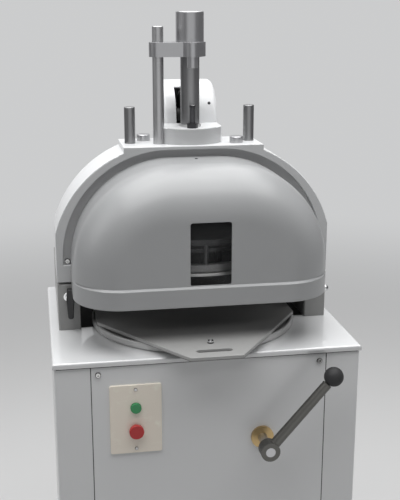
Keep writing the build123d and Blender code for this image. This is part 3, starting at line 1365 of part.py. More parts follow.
# Hand lever and switches
def lever_arm():
    """Tapered rod that leans from a hub in front of the panel, with a thin tip inside the knob."""
    taper = LEVER_LENGTH - KNOB_R
    rod = Pos(0, 0, taper / 2) * Cone(LEVER_LOW_R, LEVER_HIGH_R, taper)
    rod += Pos(0, 0, taper + LEVER_TIP / 2) * Cylinder(LEVER_TIP_R, LEVER_TIP)
    arm = Pos(LEVER_X, LEVER_Y, LEVER_Z) * Rot(0, LEVER_LEAN, 0) * rod
    arm += rod_y(LEVER_X, LEVER_Z, LEVER_HUB_R, LEVER_Y - LEVER_HUB / 2, LEVER_Y + LEVER_HUB / 2)
    return arm - rod_y(LEVER_X, LEVER_Z, LEVER_SHAFT_R, LEVER_Y - LEVER_HUB, LEVER_Y + LEVER_HUB)


def ball_knob():
    taper = LEVER_LENGTH - KNOB_R
    tip = Pos(0, 0, taper + LEVER_TIP / 2) * Cylinder(LEVER_TIP_R, LEVER_TIP)
    seat = Pos(0, 0, taper / 2) * Cone(LEVER_LOW_R, LEVER_HIGH_R, taper)
    lean = Pos(LEVER_X, LEVER_Y, LEVER_Z) * Rot(0, LEVER_LEAN, 0)
    return Pos(KNOB_X, LEVER_Y, KNOB_Z) * Sphere(KNOB_R) - lean * tip - lean * seat


def lever_shaft():
    cam_y = CAB_FRONT + LEVER_SHAFT_IN - CAM
    shaft = rod_y(LEVER_X, LEVER_Z, LEVER_SHAFT_R, LEVER_Y - LEVER_HUB / 2, CAB_FRONT + LEVER_SHAFT_IN)
    return shaft + rod_y(LEVER_X, LEVER_Z + CAM_OFFSET, CAM_R, cam_y, cam_y + CAM)


def lever_bush():
    front = CAB_FRONT - BUSH_FLANGE
    rear = CAB_FRONT + BUSH_LENGTH
    bush = rod_y(LEVER_X, LEVER_Z, BUSH_FLANGE_R, front, CAB_FRONT)
    bush += rod_y(LEVER_X, LEVER_Z, BUSH_R, CAB_FRONT, rear)
    return bush - rod_y(LEVER_X, LEVER_Z, LEVER_SHAFT_R + RUN, front, rear)


def cam_switch():
    top = LEVER_Z - CAM_R - CAM_OFFSET - FACE_GAP
    half = CAM_SWITCH_WIDTH / 2
    front = CAB_FRONT + PANEL
    rear = CAB_FRONT + LEVER_SHAFT_IN
    body = block(LEVER_X - half, LEVER_X + half, front, rear, top - CAM_SWITCH_HEIGHT, top)
    return fillet(body.edges().filter_by(Axis.Y), CAM_SWITCH_WIDTH / 12)


def switch_plate():
    middle = SWITCH_PLATE_TOP - SWITCH_PLATE_HEIGHT / 2
    face = RectangleRounded(SWITCH_PLATE_WIDTH, SWITCH_PLATE_HEIGHT, SWITCH_PLATE_ROUND)
    plate = backwards(facing(SWITCH_FACE) * Pos(SWITCH_PLATE_X, middle) * face, SWITCH_PLATE)
    plate = fillet(plate.edges().group_by(Axis.Y)[0], SWITCH_PLATE / 4)
    for z in (START_Z, STOP_Z):
        plate -= rod_y(SWITCH_PLATE_X, z, BUTTON_R + FACE_GAP, SWITCH_FACE, CAB_FRONT)
    for x, z in switch_screw_places():
        plate -= screw_hole(x, z, SWITCH_FACE, CAB_FRONT, SWITCH_SCREW_SCALE)
    return plate


def push_button(z, cap_r, rise):
    """Button that slides through the plate and the panel, with a wider cap where cap_r is larger."""
    button = rod_y(SWITCH_PLATE_X, z, BUTTON_R, SWITCH_FACE - rise, CAB_FRONT + BUTTON_BACK)
    if cap_r > BUTTON_R:
        button += rod_y(SWITCH_PLATE_X, z, cap_r, SWITCH_FACE - rise, SWITCH_FACE - BUTTON_TRAVEL - FACE_GAP)
    return fillet(button.edges().group_by(Axis.Y)[0], BUTTON_R / 8)


def control_box():
    rear = CONTROL_Y + CONTROL_DEPTH
    top = CONTROL_Z + CONTROL_HEIGHT
    body = block(CAB_INNER - CONTROL_WIDTH, CAB_INNER, CONTROL_Y, rear, CONTROL_Z, top)
    return fillet(body.edges().filter_by(Axis.Z), PANEL)


def cable_gland():
    z = CAB_LOW + GLAND_RISE
    hexagon = facing(BACK_Y) * Pos(GLAND_X, z) * RegularPolygon(GLAND_HEX / 2, 6, major_radius=False)
    gland = backwards(hexagon, GLAND_HEX_HEIGHT)
    gland += rod_y(GLAND_X, z, GLAND_R, BACK_Y - GLAND_IN, BACK_Y + GLAND_OUT)
    return gland - rod_y(GLAND_X, z, GLAND_R / 2, BACK_Y - GLAND_IN, BACK_Y + GLAND_OUT)


# All nodes, moved to the part's origin and written out
NODES = {
    "worktop": worktop(),
    "bed_mat": bed_mat(),
    "left_side_panel": mirrored(side_panel()),
    "right_side_panel": side_panel(),
    "front_panel": front_panel(),
    "back_panel": back_panel(),
    "base_plate": base_plate(),
    "levelling_feet": levelling_feet(),
    "panel_screws": panel_screws(),
    "main_frame": main_frame(),
    "crank_bearings": crank_bearings(),
    "crank_shaft": crank_shaft(),
    "idler_crank_left": idler_crank(-1),
    "idler_crank_right": idler_crank(1),
    "round_table": round_table(),
    "driven_pulley": driven_pulley(),
    "motor_pulley": motor_pulley(),
    "drive_belt": drive_belt(),
    "drive_motor": drive_motor(),
    "dough_plate": dough_plate(),
    "left_pedestal": left_pedestal(),
    "right_pedestal": pedestal(),
    "hinge_pins": hinge_pins(),
    "rear_guard": rear_guard(),
    "dome_nut": dome_nut(),
    "latch_lever": latch_lever(),
    "latch_spindle": latch_spindle(),
    "arch_bridge": arch_bridge(),
    "front_cover": front_cover(),
    "window_pane": window_pane(),
    "rear_cover": rear_cover(),
    "cover_screws": cover_screws(),
    "ram_boss": ram_boss(),
    "ram_seal": ram_seal(),
    "tall_post": tall_post(),
    "pad_caps": pad_caps(),
    "depth_stop": depth_stop(),
    "gear_hood": gear_hood(),
    "press_pinion": press_pinion(),
    "pinion_bearing": pinion_bearing(),
    "press_motor": press_motor(),
    "ram": ram(),
    "carriage": carriage(),
    "guide_posts": guide_posts(),
    "dough_ring": dough_ring(),
    "plungers": plungers(),
    "crosshead": crosshead(),
    "knife_cylinder": knife_cylinder(),
    "knife_grid": knife_grid(),
    "knife_rod": knife_rod(),
    "lever_arm": lever_arm(),
    "ball_knob": ball_knob(),
    "lever_shaft": lever_shaft(),
    "lever_bush": lever_bush(),
    "cam_switch": cam_switch(),
    "switch_plate": switch_plate(),
    "start_button": push_button(START_Z, BUTTON_R, BUTTON_RISE),
    "stop_button": push_button(STOP_Z, STOP_BUTTON_R, STOP_BUTTON_RISE),
    "control_box": control_box(),
    "cable_gland": cable_gland(),
}

os.makedirs("parts", exist_ok=True)
TO_ORIGIN = Pos(0, -MACHINE_MID_Y, TOP_HEIGHT)
for name, shape in NODES.items():
    export_step(TO_ORIGIN * shape, f"parts/{name}.step")
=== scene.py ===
import json
from math import radians

import bpy
import numpy as np
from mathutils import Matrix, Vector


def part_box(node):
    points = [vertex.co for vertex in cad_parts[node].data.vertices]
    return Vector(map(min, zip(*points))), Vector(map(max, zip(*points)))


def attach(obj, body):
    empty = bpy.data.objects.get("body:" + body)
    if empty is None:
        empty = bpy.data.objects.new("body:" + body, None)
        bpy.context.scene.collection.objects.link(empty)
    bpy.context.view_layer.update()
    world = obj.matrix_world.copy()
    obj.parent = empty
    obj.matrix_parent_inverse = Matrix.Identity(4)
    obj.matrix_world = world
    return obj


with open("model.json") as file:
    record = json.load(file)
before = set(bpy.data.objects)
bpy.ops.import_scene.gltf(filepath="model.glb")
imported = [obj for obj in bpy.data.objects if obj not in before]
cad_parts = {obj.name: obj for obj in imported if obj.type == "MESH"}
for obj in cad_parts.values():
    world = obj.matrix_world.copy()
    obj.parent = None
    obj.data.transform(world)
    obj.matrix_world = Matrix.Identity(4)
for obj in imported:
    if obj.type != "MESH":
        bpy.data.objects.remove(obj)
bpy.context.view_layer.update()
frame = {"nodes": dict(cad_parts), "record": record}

# Camera, where the photograph's lay: metres from the machine's origin, degrees, and a lens on a 36 mm sensor
CAMERA_PLACE = (-0.33010, -1.97738, 1.54786)
CAMERA_DOWN = 14.979
CAMERA_RIGHT = 9.930
CAMERA_LENS = 67.457
SENSOR = 36.0

# Eyelet of the dough plate: its place behind the worktop's front edge, its tube and the sleeve over it
EYELET_SETBACK = 0.008
EYELET_RISE = 0.0055
EYELET_R = 0.0056
EYELET_HOLE_R = 0.0036
SLEEVE_WALL = 0.0003
SLEEVE_DEPTH = 0.0022
SLEEVE_FIT = 0.00003
# Dark ring at the tube's foot, a painted contact shadow: its middle radius and half size
EYELET_SHADOW_RING_R = 0.0061
EYELET_SHADOW_RING_HALF = 0.0006

# Finger slot of the dough plate: place before the worktop's front edge, reach, and depths where painted shade
# starts in the slot and on the plate's lower edge
SLOT_AHEAD = 0.036
SLOT_HALF_LENGTH = 0.042
SLOT_HALF_WIDTH = 0.009
SLOT_SHADE_DEPTH = 0.0040
PLATE_EDGE_SHADE_DEPTH = 0.0066

# Round table: width of its rim, and how far under the rim's top its trough floor turns darker
TABLE_LIP = 0.0042
TROUGH_DARK_DEPTH = 0.0015

# Depth stop: its thread between its nut and its head, and the bright crown of that head
THREAD_R = 0.0057
THREAD_RISE = 0.0005
THREAD_PITCH = 0.00175
THREAD_STEPS = 8
THREAD_CORE = 3
STOP_NUT = 0.010
STOP_HEAD = 0.004
STOP_CROWN_R = 0.0058
STOP_CROWN_RISE = 0.0010

# Small button screws on the front cover's top and on the gear hood: radius, rise, shares below it, and places
BUTTON_R = 0.0034
BUTTON_RISE = 0.0016
BUTTON_SINK = 0.2
BUTTON_CORE = 0.01
COVER_SCREW_BACK = 0.178
HOOD_SCREW_SIDE = 0.053
HOOD_SCREW_TURN = 27.0

# Dark strips in the seams beside the front panel and under the worktop's lip, a painted shadow for the shade
# in those gaps: half widths, rise and places
SHADOW_STRIP_HALF_WIDTH = 0.0009
SHADOW_STRIP_RISE = 0.00015
SHADOW_STRIP_CORE = 0.02
HALF_SEAM = 0.0005
LIP_SHADOW_STRIP_HALF_WIDTH = 0.0015
LIP_SHADOW_STRIP_DROP = 0.0125
FOLD_ROUND = 0.004

# Heights on the pressing ring, above the worktop's top face, where its painted shade and painted highlight
# change
RING_FLANGE_LOW = 0.1505
RING_FLANGE_TOP = 0.1575
RING_BAND_TOP = 0.1745

# Middle of the head, behind the table's middle and above the worktop, towards which the covers' inner faces
# with painted shade look, and where the arch's recess with its darker painted shade starts
HEAD_MIDDLE_BACK = 0.03
HEAD_MIDDLE_RISE = 0.12
RECESS_START = 0.004

# Faces look forward where their way's Y lies under this, and such faces get a greyer painted shade
FORWARD_WAY = -0.5

# Ways in which seals and screws look
UPWARD = (0.0, 0.0, 1.0)
FRONTWARD = (0.0, -1.0, 0.0)
LEFTWARD = (-1.0, 0.0, 0.0)
RIGHTWARD = (1.0, 0.0, 0.0)

# Studio
FLOOR_REACH = 40.0
FLOOR_TONE = (0.66, 0.66, 0.66)
FLOOR_BOUNCE = (0.34, 0.34, 0.34)
STUDIO_TONE = (0.60, 0.605, 0.61)
STUDIO_LIGHT = 0.23
FLAG_TONE = (0.13, 0.13, 0.135)
FLAG_SIDE = 1.5
FLAG_DEPTH = (-2.2, 1.8)
FLAG_HEIGHT = (0.7, 2.6)
FLOOR_NEAR = 1.2
FLOOR_FAR = 5.0

# Sockets of a colour Mix node
MIX_FACTOR = 0
MIX_FIRST = 6
MIX_SECOND = 7
MIX_RESULT = 2


class Value:
    """A shader socket in a Python expression: each operator adds one Math node."""

    def __init__(self, finish, socket):
        self.finish = finish
        self.socket = socket

    def sum(self, operation, first, second):
        return self.finish.node("ShaderNodeMath", {"operation": operation}, {0: first, 1: second})

    def __add__(self, other):
        return self.sum("ADD", self, other)

    def __radd__(self, other):
        return self.sum("ADD", other, self)

    def __sub__(self, other):
        return self.sum("SUBTRACT", self, other)

    def __rsub__(self, other):
        return self.sum("SUBTRACT", other, self)

    def __mul__(self, other):
        return self.sum("MULTIPLY", self, other)

    def __rmul__(self, other):
        return self.sum("MULTIPLY", other, self)

    def less(self, other):
        return self.sum("LESS_THAN", self, other)


class Finish:
    """One material: node() adds any node, with its settings first and then its sockets."""

    def __init__(self, name):
        self.material = bpy.data.materials.new(name)
        self.material.use_nodes = True
        self.tree = self.material.node_tree
        self.shader = self.tree.nodes["Principled BSDF"]
        self.place = self.node("ShaderNodeTexCoord", output="Object")

    def node(self, kind, settings=None, sockets=None, output=0):
        item = self.tree.nodes.new(kind)
        for key, value in (settings or {}).items():
            if key == "stops":
                self.stops(item.color_ramp, value)
            else:
                setattr(item, key, value)
        for key, value in (sockets or {}).items():
            self.put(item.inputs[key], value)
        return Value(self, item.outputs[output])

    def stops(self, ramp, values):
        while len(ramp.elements) < len(values):
            ramp.elements.new(1.0)
        for element, (position, level) in zip(ramp.elements, values):
            element.position = position
            element.color = (level, level, level, 1.0)

    def put(self, socket, value):
        if isinstance(value, Value):
            self.tree.links.new(value.socket, socket)
        else:
            socket.default_value = value

    def set(self, **sockets):
        for key, value in sockets.items():
            self.put(self.shader.inputs[key.replace("_", " ")], value)

    def stretched(self, scale):
        """Object coordinates drawn out by a scale on each axis."""
        sockets = {"Vector": self.place, "Scale": scale}
        return self.node("ShaderNodeMapping", {"vector_type": "POINT"}, sockets)

    def part(self, letter, vector=None):
        """One coordinate of a vector, or of the place on the piece."""
        return self.node("ShaderNodeSeparateXYZ", None, {0: vector or self.place}, letter)

    def facing(self):
        """The way in which a face looks, in the piece's own coordinates."""
        return self.node("ShaderNodeTexCoord", output="Normal")

    def vectors(self, operation, *parts, output=0):
        """Vector Math on one or two vectors."""
        return self.node("ShaderNodeVectorMath", {"operation": operation}, dict(enumerate(parts)), output)

    def noise(self, scale, detail=3.0, roughness=0.5, vector=None):
        sockets = {"Vector": vector or self.place, "Scale": scale, "Detail": detail, "Roughness": roughness}
        return self.node("ShaderNodeTexNoise", None, sockets)

    def ramp(self, value, *stops):
        return self.node("ShaderNodeValToRGB", {"stops": stops}, {0: value})

    def mix(self, factor, first, second):
        """Colour between two colours by a factor."""
        item = self.tree.nodes.new("ShaderNodeMix")
        item.data_type = "RGBA"
        self.put(item.inputs[MIX_FACTOR], factor)
        for place, value in ((MIX_FIRST, first), (MIX_SECOND, second)):
            self.put(item.inputs[place], value if isinstance(value, Value) else (*value, 1.0))
        return Value(self, item.outputs[MIX_RESULT])

    def eased(self, radius):
        """Normals that turn softly over each edge, as far as the radius."""
        return self.node("ShaderNodeBevel", {"samples": 4}, {"Radius": radius})

    def bump(self, height, strength, distance, normal=None):
        sockets = {"Strength": strength, "Distance": distance, "Height": height}
        if normal is not None:
            sockets["Normal"] = normal
        return self.node("ShaderNodeBump", None, sockets)


def gloss_paint(
    name, colour, dull, roughness=0.30, peel=0.03, coat=0.20, coat_roughness=0.10, coat_ior=1.5, shade=None
):
    """Sprayed enamel: slow drifts of tone, faint handling smudges in the gloss and a fine orange peel.

    A shade is a function of the finish that gives a mask and a darker colour that is painted on the masked
    faces as painted shade.
    """
    finish = Finish(name)
    drift = finish.noise(2.6, 4.0, 0.55)
    smudge = finish.ramp(finish.noise(11.0, 6.0, 0.62), (0.45, 0.0), (0.72, 1.0))
    tone = finish.mix(drift * 0.6 + smudge * 0.16, colour, dull)
    # Painted shade: masked faces take the darker colour in place of the paint's tone.
    if shade:
        mask, dark = shade(finish)
        tone = finish.mix(mask, tone, dark)
    skin = finish.noise(420.0, 2.0, 0.45)
    finish.set(Base_Color=tone, Roughness=smudge * 0.10 + roughness)
    finish.set(Coat_Weight=coat, Coat_Roughness=coat_roughness, Coat_IOR=coat_ior)
    finish.set(Normal=finish.bump(skin, peel, 0.0006, finish.eased(0.0012)))
    return finish.material


def inside_painted_shade(middle):
    """Mask of the faces that look towards a middle point: the inner faces of a hollow cover, painted dark as
    shade.
    """
    def shade(finish):
        away = finish.vectors("SUBTRACT", finish.place, middle)
        along = finish.vectors("DOT_PRODUCT", away, finish.facing(), output="Value")
        return along.less(0.0), INSIDE_PAINTED_SHADE
    return shade


def front_painted_shade(grey, recess_y=None):
    """Mask of the faces that look forward, which get a greyer painted shade; behind a given depth the painted
    shade is darker still.
    """
    def shade(finish):
        forward = finish.part("Y", finish.facing()).less(FORWARD_WAY)
        if recess_y is None:
            return forward, grey
        return forward, finish.mix(finish.part("Y").less(recess_y), RECESS_PAINTED_SHADE, grey)
    return shade


def bright_metal(name, colour, roughness, streak, scale):
    """Polished or turned metal: fine lines drawn out along one axis in its gloss, and slow stains."""
    finish = Finish(name)
    lines = finish.noise(1.0, 3.0, 0.6, finish.stretched(scale))
    stain = finish.noise(24.0, 5.0, 0.6)
    shade = tuple(0.82 * part for part in colour)
    finish.set(Base_Color=finish.mix(stain * 0.5 + lines * 0.3, colour, shade), Metallic=1.0)
    finish.set(Roughness=lines * streak + stain * 0.05 + roughness)
    finish.set(Normal=finish.bump(lines, 0.05, 0.0003, finish.eased(0.0006)))
    return finish.material


def button_screws(name, colour, rim):
    """Plated button heads: plated colour where they look out of the panel, and a dark painted shade round the
    rim.
    """
    finish = Finish(name)
    out = finish.part("Y", finish.facing())
    # Painted shade: the head turns to the dark rim colour where it does not look straight out.
    rim_shade_mask = finish.ramp(out * out, (0.78, 1.0), (0.98, 0.0))
    finish.set(Base_Color=finish.mix(rim_shade_mask, colour, rim), Metallic=0.8, Roughness=rim_shade_mask * 0.3 + 0.26)
    return finish.material


def press_ring(name, low, middle, high):
    """Pressing ring: black below its flange and above its band as painted shade, a bright painted highlight
    on the flange, grey on the band.
    """
    finish = Finish(name)
    height = finish.part("Z")
    worn = finish.noise(1.0, 4.0, 0.6, finish.stretched((60.0, 60.0, 400.0)))
    # The flange's bright metal is a painted highlight; black below the flange and above the band is painted
    # shade.
    flange = (1 - height.less(low)) * height.less(middle)
    band = (1 - height.less(middle)) * height.less(high)
    tone = finish.mix(band, (0.016, 0.016, 0.017), (0.15, 0.15, 0.15))
    tone = finish.mix(flange, tone, (0.42, 0.42, 0.415))
    finish.set(Base_Color=finish.mix(worn * 0.15, tone, (0.12, 0.12, 0.12)))
    finish.set(Metallic=flange * 0.8 + band * 0.4, Roughness=worn * 0.2 + 0.30)
    return finish.material


def satin_plastic(name, colour, roughness, grain=0.10):
    """Moulded plastic: fine even grain, and a few worn, paler spots."""
    finish = Finish(name)
    grains = finish.noise(900.0, 2.0, 0.5)
    worn = finish.ramp(finish.noise(38.0, 5.0, 0.6), (0.55, 0.0), (0.80, 1.0))
    pale = tuple(min(1.0, part * 1.25 + 0.012) for part in colour)
    finish.set(Base_Color=finish.mix(worn * 0.6, colour, pale))
    finish.set(Roughness=grains * 0.12 + worn * 0.08 + roughness)
    finish.set(Normal=finish.bump(grains, grain, 0.0004))
    return finish.material


def turned_table(name, colour, centre_y, floor_z):
    """Faced metal disc: rings round its own middle, and a darker floor in the trough behind its rim."""
    finish = Finish(name)
    offset = finish.vectors("SUBTRACT", finish.place, (0.0, centre_y, 0.0))
    flat = finish.vectors("MULTIPLY", offset, (1.0, 1.0, 0.0))
    radius = finish.vectors("LENGTH", flat, output="Value")
    rings = finish.noise(1.0, 3.0, 0.6, finish.node("ShaderNodeCombineXYZ", None, {0: radius * 900.0}))
    stain = finish.noise(13.0, 6.0, 0.6)
    shade = tuple(0.72 * part for part in colour)
    low = finish.part("Z").less(floor_z)
    inside = radius.less(TABLE_INSIDE_R)
    tone = finish.mix(rings * 0.35 + stain * 0.45, colour, shade)
    finish.set(Base_Color=finish.mix(low * inside, tone, (0.48, 0.48, 0.48)), Metallic=0.3)
    finish.set(Roughness=rings * 0.16 + stain * 0.10 + 0.34)
    finish.set(Normal=finish.bump(rings, 0.06, 0.0003, finish.eased(0.006)))
    return finish.material


def wiped_plate(name, colour, shade, face_z, slot_y):
    """Satin board: cloudy wipe marks, short crossing scratches, and painted shade in its slot and along its
    lower edge.
    """
    finish = Finish(name)
    depth = face_z - finish.part("Z")
    side = finish.part("X")
    ahead = finish.part("Y") - slot_y
    in_slot = (side * side).less(SLOT_HALF_LENGTH**2) * (ahead * ahead).less(SLOT_HALF_WIDTH**2)
    low = (1 - depth.less(PLATE_EDGE_SHADE_DEPTH)) + in_slot * (1 - depth.less(SLOT_SHADE_DEPTH))
    cloud = finish.noise(7.0, 6.0, 0.62)
    along = finish.noise(1.0, 4.0, 0.65, finish.stretched((45.0, 900.0, 45.0)))
    across = finish.noise(1.0, 4.0, 0.65, finish.stretched((800.0, 38.0, 45.0)))
    scratch = finish.ramp(along * across, (0.30, 0.0), (0.46, 1.0))
    tone = finish.mix(cloud * 0.55 + scratch * 0.35, colour, shade)
    # Painted shade: near-black deep in the slot and along the plate's lower edge.
    tone = finish.mix(low * 0.6, tone, (0.05, 0.05, 0.05))
    finish.set(Base_Color=tone, Roughness=cloud * 0.16 + scratch * 0.12 + 0.34)
    finish.set(Normal=finish.bump(scratch, 0.10, 0.0003, finish.eased(0.0010)))
    return finish.material


def clear_sheet(name):
    """Clear plastic sheet: nearly all light goes through, and faint dusty smears hold some of it back."""
    finish = Finish(name)
    smear = finish.ramp(finish.noise(14.0, 5.0, 0.6), (0.42, 0.0), (0.75, 1.0))
    finish.set(Base_Color=(0.42, 0.43, 0.44, 1.0), IOR=1.49)
    finish.set(Roughness=smear * 0.20 + 0.03, Alpha=smear * 0.05 + 0.01)
    return finish.material


def cast_metal(name, colour, metallic):
    """Rough casting or dull fastener: mottled tone and a sandy surface."""
    finish = Finish(name)
    mottle = finish.noise(60.0, 6.0, 0.65)
    sand = finish.noise(700.0, 2.0, 0.5)
    pale = tuple(1.5 * part for part in colour)
    finish.set(Base_Color=finish.mix(mottle * 0.7, colour, pale), Metallic=metallic)
    finish.set(Roughness=mottle * 0.2 + 0.38)
    finish.set(Normal=finish.bump(sand, 0.15, 0.0005))
    return finish.material


TABLE_START, TABLE_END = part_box("round_table")
TABLE_MIDDLE_Y = (TABLE_START[1] + TABLE_END[1]) / 2
TABLE_FLOOR = TABLE_END[2] - TROUGH_DARK_DEPTH
TABLE_INSIDE_R = (TABLE_END[0] - TABLE_START[0]) / 2 - TABLE_LIP
TOP_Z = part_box("worktop")[1][2]
TOP_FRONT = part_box("worktop")[0][1]
PLATE_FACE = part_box("dough_plate")[1][2] - EYELET_RISE
RIM_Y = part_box("arch_bridge")[0][1]
HEAD_MIDDLE = (0.0, TABLE_MIDDLE_Y + HEAD_MIDDLE_BACK, TOP_Z + HEAD_MIDDLE_RISE)
WHITE = (0.80, 0.81, 0.82)
WHITE_DULL = (0.75, 0.755, 0.76)
GREY = (0.71, 0.715, 0.72)
GREY_DULL = (0.67, 0.675, 0.68)
# Painted shade: greys for faces that look forward on the arch, boss and worktop lip, darker in the arch's
# recess
HEAD_FRONT_SHADE = (0.48, 0.485, 0.49)
RECESS_PAINTED_SHADE = (0.39, 0.39, 0.395)
LIP_FRONT_SHADE = (0.50, 0.505, 0.51)
# Dark painted shade for the covers' inner faces
INSIDE_PAINTED_SHADE = (0.15, 0.15, 0.152)
# The covers' enamel is set darker than the white paint: a painted shade for the little light on their front
# faces
COVER_SHADED_WHITE = (0.335, 0.34, 0.345)
COVER_SHADED_DULL = (0.31, 0.315, 0.32)
PEDESTAL_GREY = (0.29, 0.29, 0.285)
PEDESTAL_DULL = (0.27, 0.27, 0.265)
FRAME_BLACK = (0.035, 0.036, 0.038)
FRAME_DULL = (0.055, 0.055, 0.055)
GROUND_LINES = (420.0, 420.0, 26.0)
FINISHES = {
    "white_paint": gloss_paint("white_enamel", WHITE, WHITE_DULL),
    "frame_paint": gloss_paint("dark_frame_paint", FRAME_BLACK, FRAME_DULL, 0.42, 0.12, 0.05),
    "chrome": bright_metal("chrome_plate", (0.70, 0.705, 0.71), 0.10, 0.04, (260.0, 260.0, 25.0)),
    "steel": bright_metal("machined_steel", (0.52, 0.52, 0.53), 0.24, 0.16, (500.0, 500.0, 30.0)),
    "dark_steel": cast_metal("dark_fasteners", (0.045, 0.045, 0.048), 0.8),
    "cast": cast_metal("cast_iron", (0.030, 0.030, 0.032), 0.3),
    "screw_zinc": button_screws("zinc_screws", (0.60, 0.60, 0.59), (0.05, 0.05, 0.05)),
    "ring_metal": press_ring(
        "press_ring", TOP_Z + RING_FLANGE_LOW, TOP_Z + RING_FLANGE_TOP, TOP_Z + RING_BAND_TOP
    ),
    "motor_paint": gloss_paint("motor_paint", (0.16, 0.18, 0.20), (0.20, 0.21, 0.22), 0.36, 0.12, 0.1),
    "table_metal": turned_table("turned_table", (0.64, 0.64, 0.635), TABLE_MIDDLE_Y, TABLE_FLOOR),
    "plate_grey": wiped_plate(
        "wiped_plate", (0.36, 0.36, 0.355), (0.30, 0.30, 0.295), PLATE_FACE, TOP_FRONT - SLOT_AHEAD
    ),
    "black_plastic": satin_plastic("black_plastic", (0.012, 0.012, 0.013), 0.34),
    "knob_plastic": satin_plastic("knob_plastic", (0.013, 0.013, 0.014), 0.60, 0.06),
    "beige_plastic": satin_plastic("beige_plastic", (0.86, 0.79, 0.69), 0.40),
    "green_plastic": satin_plastic("green_plastic", (0.03, 0.26, 0.09), 0.25),
    "red_plastic": satin_plastic("red_plastic", (0.45, 0.02, 0.02), 0.25),
    "belt_rubber": satin_plastic("belt_rubber", (0.015, 0.015, 0.015), 0.62, 0.25),
    "bush_bronze": bright_metal("bronze_bush", (0.50, 0.36, 0.18), 0.22, 0.12, (500.0, 30.0, 500.0)),
    "clear_pane": clear_sheet("clear_sheet"),
}
COVER_ENAMEL = gloss_paint(
    "cover_enamel",
    COVER_SHADED_WHITE,
    COVER_SHADED_DULL,
    roughness=0.50,
    coat=0.60,
    coat_roughness=0.26,
    shade=inside_painted_shade(HEAD_MIDDLE),
)
# Forward faces of the arch get a greyer painted shade, and its recess a darker one.
ARCH_PAINTED_SHADE = front_painted_shade(HEAD_FRONT_SHADE, RIM_Y + RECESS_START)
ARCH_ENAMEL = gloss_paint("arch_enamel", WHITE, WHITE_DULL, shade=ARCH_PAINTED_SHADE)
# Worktop: its forward-looking lip takes a greyer painted shade.
WORKTOP_ENAMEL = gloss_paint(
    "worktop_enamel",
    WHITE,
    WHITE_DULL,
    coat=1.0,
    coat_roughness=0.03,
    coat_ior=1.9,
    shade=front_painted_shade(LIP_FRONT_SHADE),
)
PANEL_ENAMEL = gloss_paint("panel_enamel", GREY, GREY_DULL)
PEDESTAL_ENAMEL = gloss_paint("pedestal_enamel", PEDESTAL_GREY, PEDESTAL_DULL)
NODE_FINISHES = {
    "front_cover": COVER_ENAMEL,
    "rear_cover": COVER_ENAMEL,
    "arch_bridge": ARCH_ENAMEL,
    # Boss: forward faces take a greyer painted shade.
    "ram_boss": gloss_paint("boss_enamel", WHITE, WHITE_DULL, shade=front_painted_shade(HEAD_FRONT_SHADE)),
    "worktop": WORKTOP_ENAMEL,
    "front_panel": PANEL_ENAMEL,
    "left_side_panel": PANEL_ENAMEL,
    "right_side_panel": PANEL_ENAMEL,
    "back_panel": PANEL_ENAMEL,
    "left_pedestal": PEDESTAL_ENAMEL,
    "right_pedestal": PEDESTAL_ENAMEL,
    # Plungers, carriage and knife grid are coloured near-black: a painted shade for the dark inside of the
    # head.
    "plungers": cast_metal("shade_dark_plungers", (0.015, 0.015, 0.017), 0.2),
    "knife_rod": cast_metal("blued_rod", (0.040, 0.040, 0.044), 0.7),
    "carriage": cast_metal("shade_dark_carriage", (0.012, 0.012, 0.013), 0.3),
    "knife_grid": cast_metal("shade_dark_knives", (0.012, 0.012, 0.013), 0.3),
    "press_pinion": cast_metal("greased_gear", (0.020, 0.020, 0.020), 0.4),
    "ram": bright_metal("ram_steel", (0.33, 0.33, 0.335), 0.30, 0.12, GROUND_LINES),
    "ram_seal": bright_metal("wiper_ring", (0.60, 0.60, 0.60), 0.34, 0.10, (300.0, 300.0, 60.0)),
    "guide_posts": bright_metal("dull_posts", (0.31, 0.31, 0.315), 0.30, 0.10, GROUND_LINES),
    "tall_post": bright_metal("ground_post", (0.54, 0.54, 0.545), 0.30, 0.10, GROUND_LINES),
    "lever_arm": bright_metal("lever_steel", (0.13, 0.128, 0.12), 0.34, 0.14, (400.0, 400.0, 30.0)),
}
for row in frame["record"]["subparts"]:
    mesh = frame["nodes"][row["node"]].data
    mesh.materials.clear()
    mesh.materials.append(NODE_FINISHES.get(row["node"], FINISHES[row["material_slot"]]))


def surface(name, rings, slot, body):
    """Closed skin through rows of points: each row is a loop, and the last row joins the first."""
    rows, count = rings.shape[:2]
    row, step = np.meshgrid(np.arange(rows), np.arange(count), indexing="ij")
    corners = ((row, step), (row, step + 1), (row + 1, step + 1), (row + 1, step))
    faces = np.stack([(a % rows) * count + b % count for a, b in corners], axis=-1).reshape(-1, 4)
    points = rings.reshape(-1, 3)
    a, b, c = points[faces[:, 0]], points[faces[:, 1]], points[faces[:, 2]]
    d = points[faces[:, 3]]
    volume = np.sum(a * np.cross(b, c)) + np.sum(a * np.cross(c, d))
    if volume < 0:
        faces = faces[:, ::-1]
    mesh = bpy.data.meshes.new(name)
    mesh.from_pydata(points.tolist(), [], faces.tolist())
    mesh.polygons.foreach_set("use_smooth", np.ones(len(faces), bool))
    mesh.materials.append(FINISHES[slot])
    piece = bpy.data.objects.new(name, mesh)
    bpy.context.scene.collection.objects.link(piece)
    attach(piece, body)


def turned(radius, height, place, along, count=40):
    """Profile of radius and height above a place, carried round a line; radius may vary with the angle."""
    along = np.array(along, float) / np.linalg.norm(along)
    side = np.cross(along, (1.0, 0.0, 0.0) if abs(along[0]) < 0.9 else (0.0, 1.0, 0.0))
    side /= np.linalg.norm(side)
    other = np.cross(along, side)
    angle = np.linspace(0.0, 2 * np.pi, count, endpoint=False)
    around = np.cos(angle)[:, None] * side + np.sin(angle)[:, None] * other
    radius = radius(angle) if callable(radius) else np.asarray(radius)[:, None]
    radius = np.broadcast_to(radius, (len(height), count))
    return np.array(place) + radius[..., None] * around + np.asarray(height)[:, None, None] * along


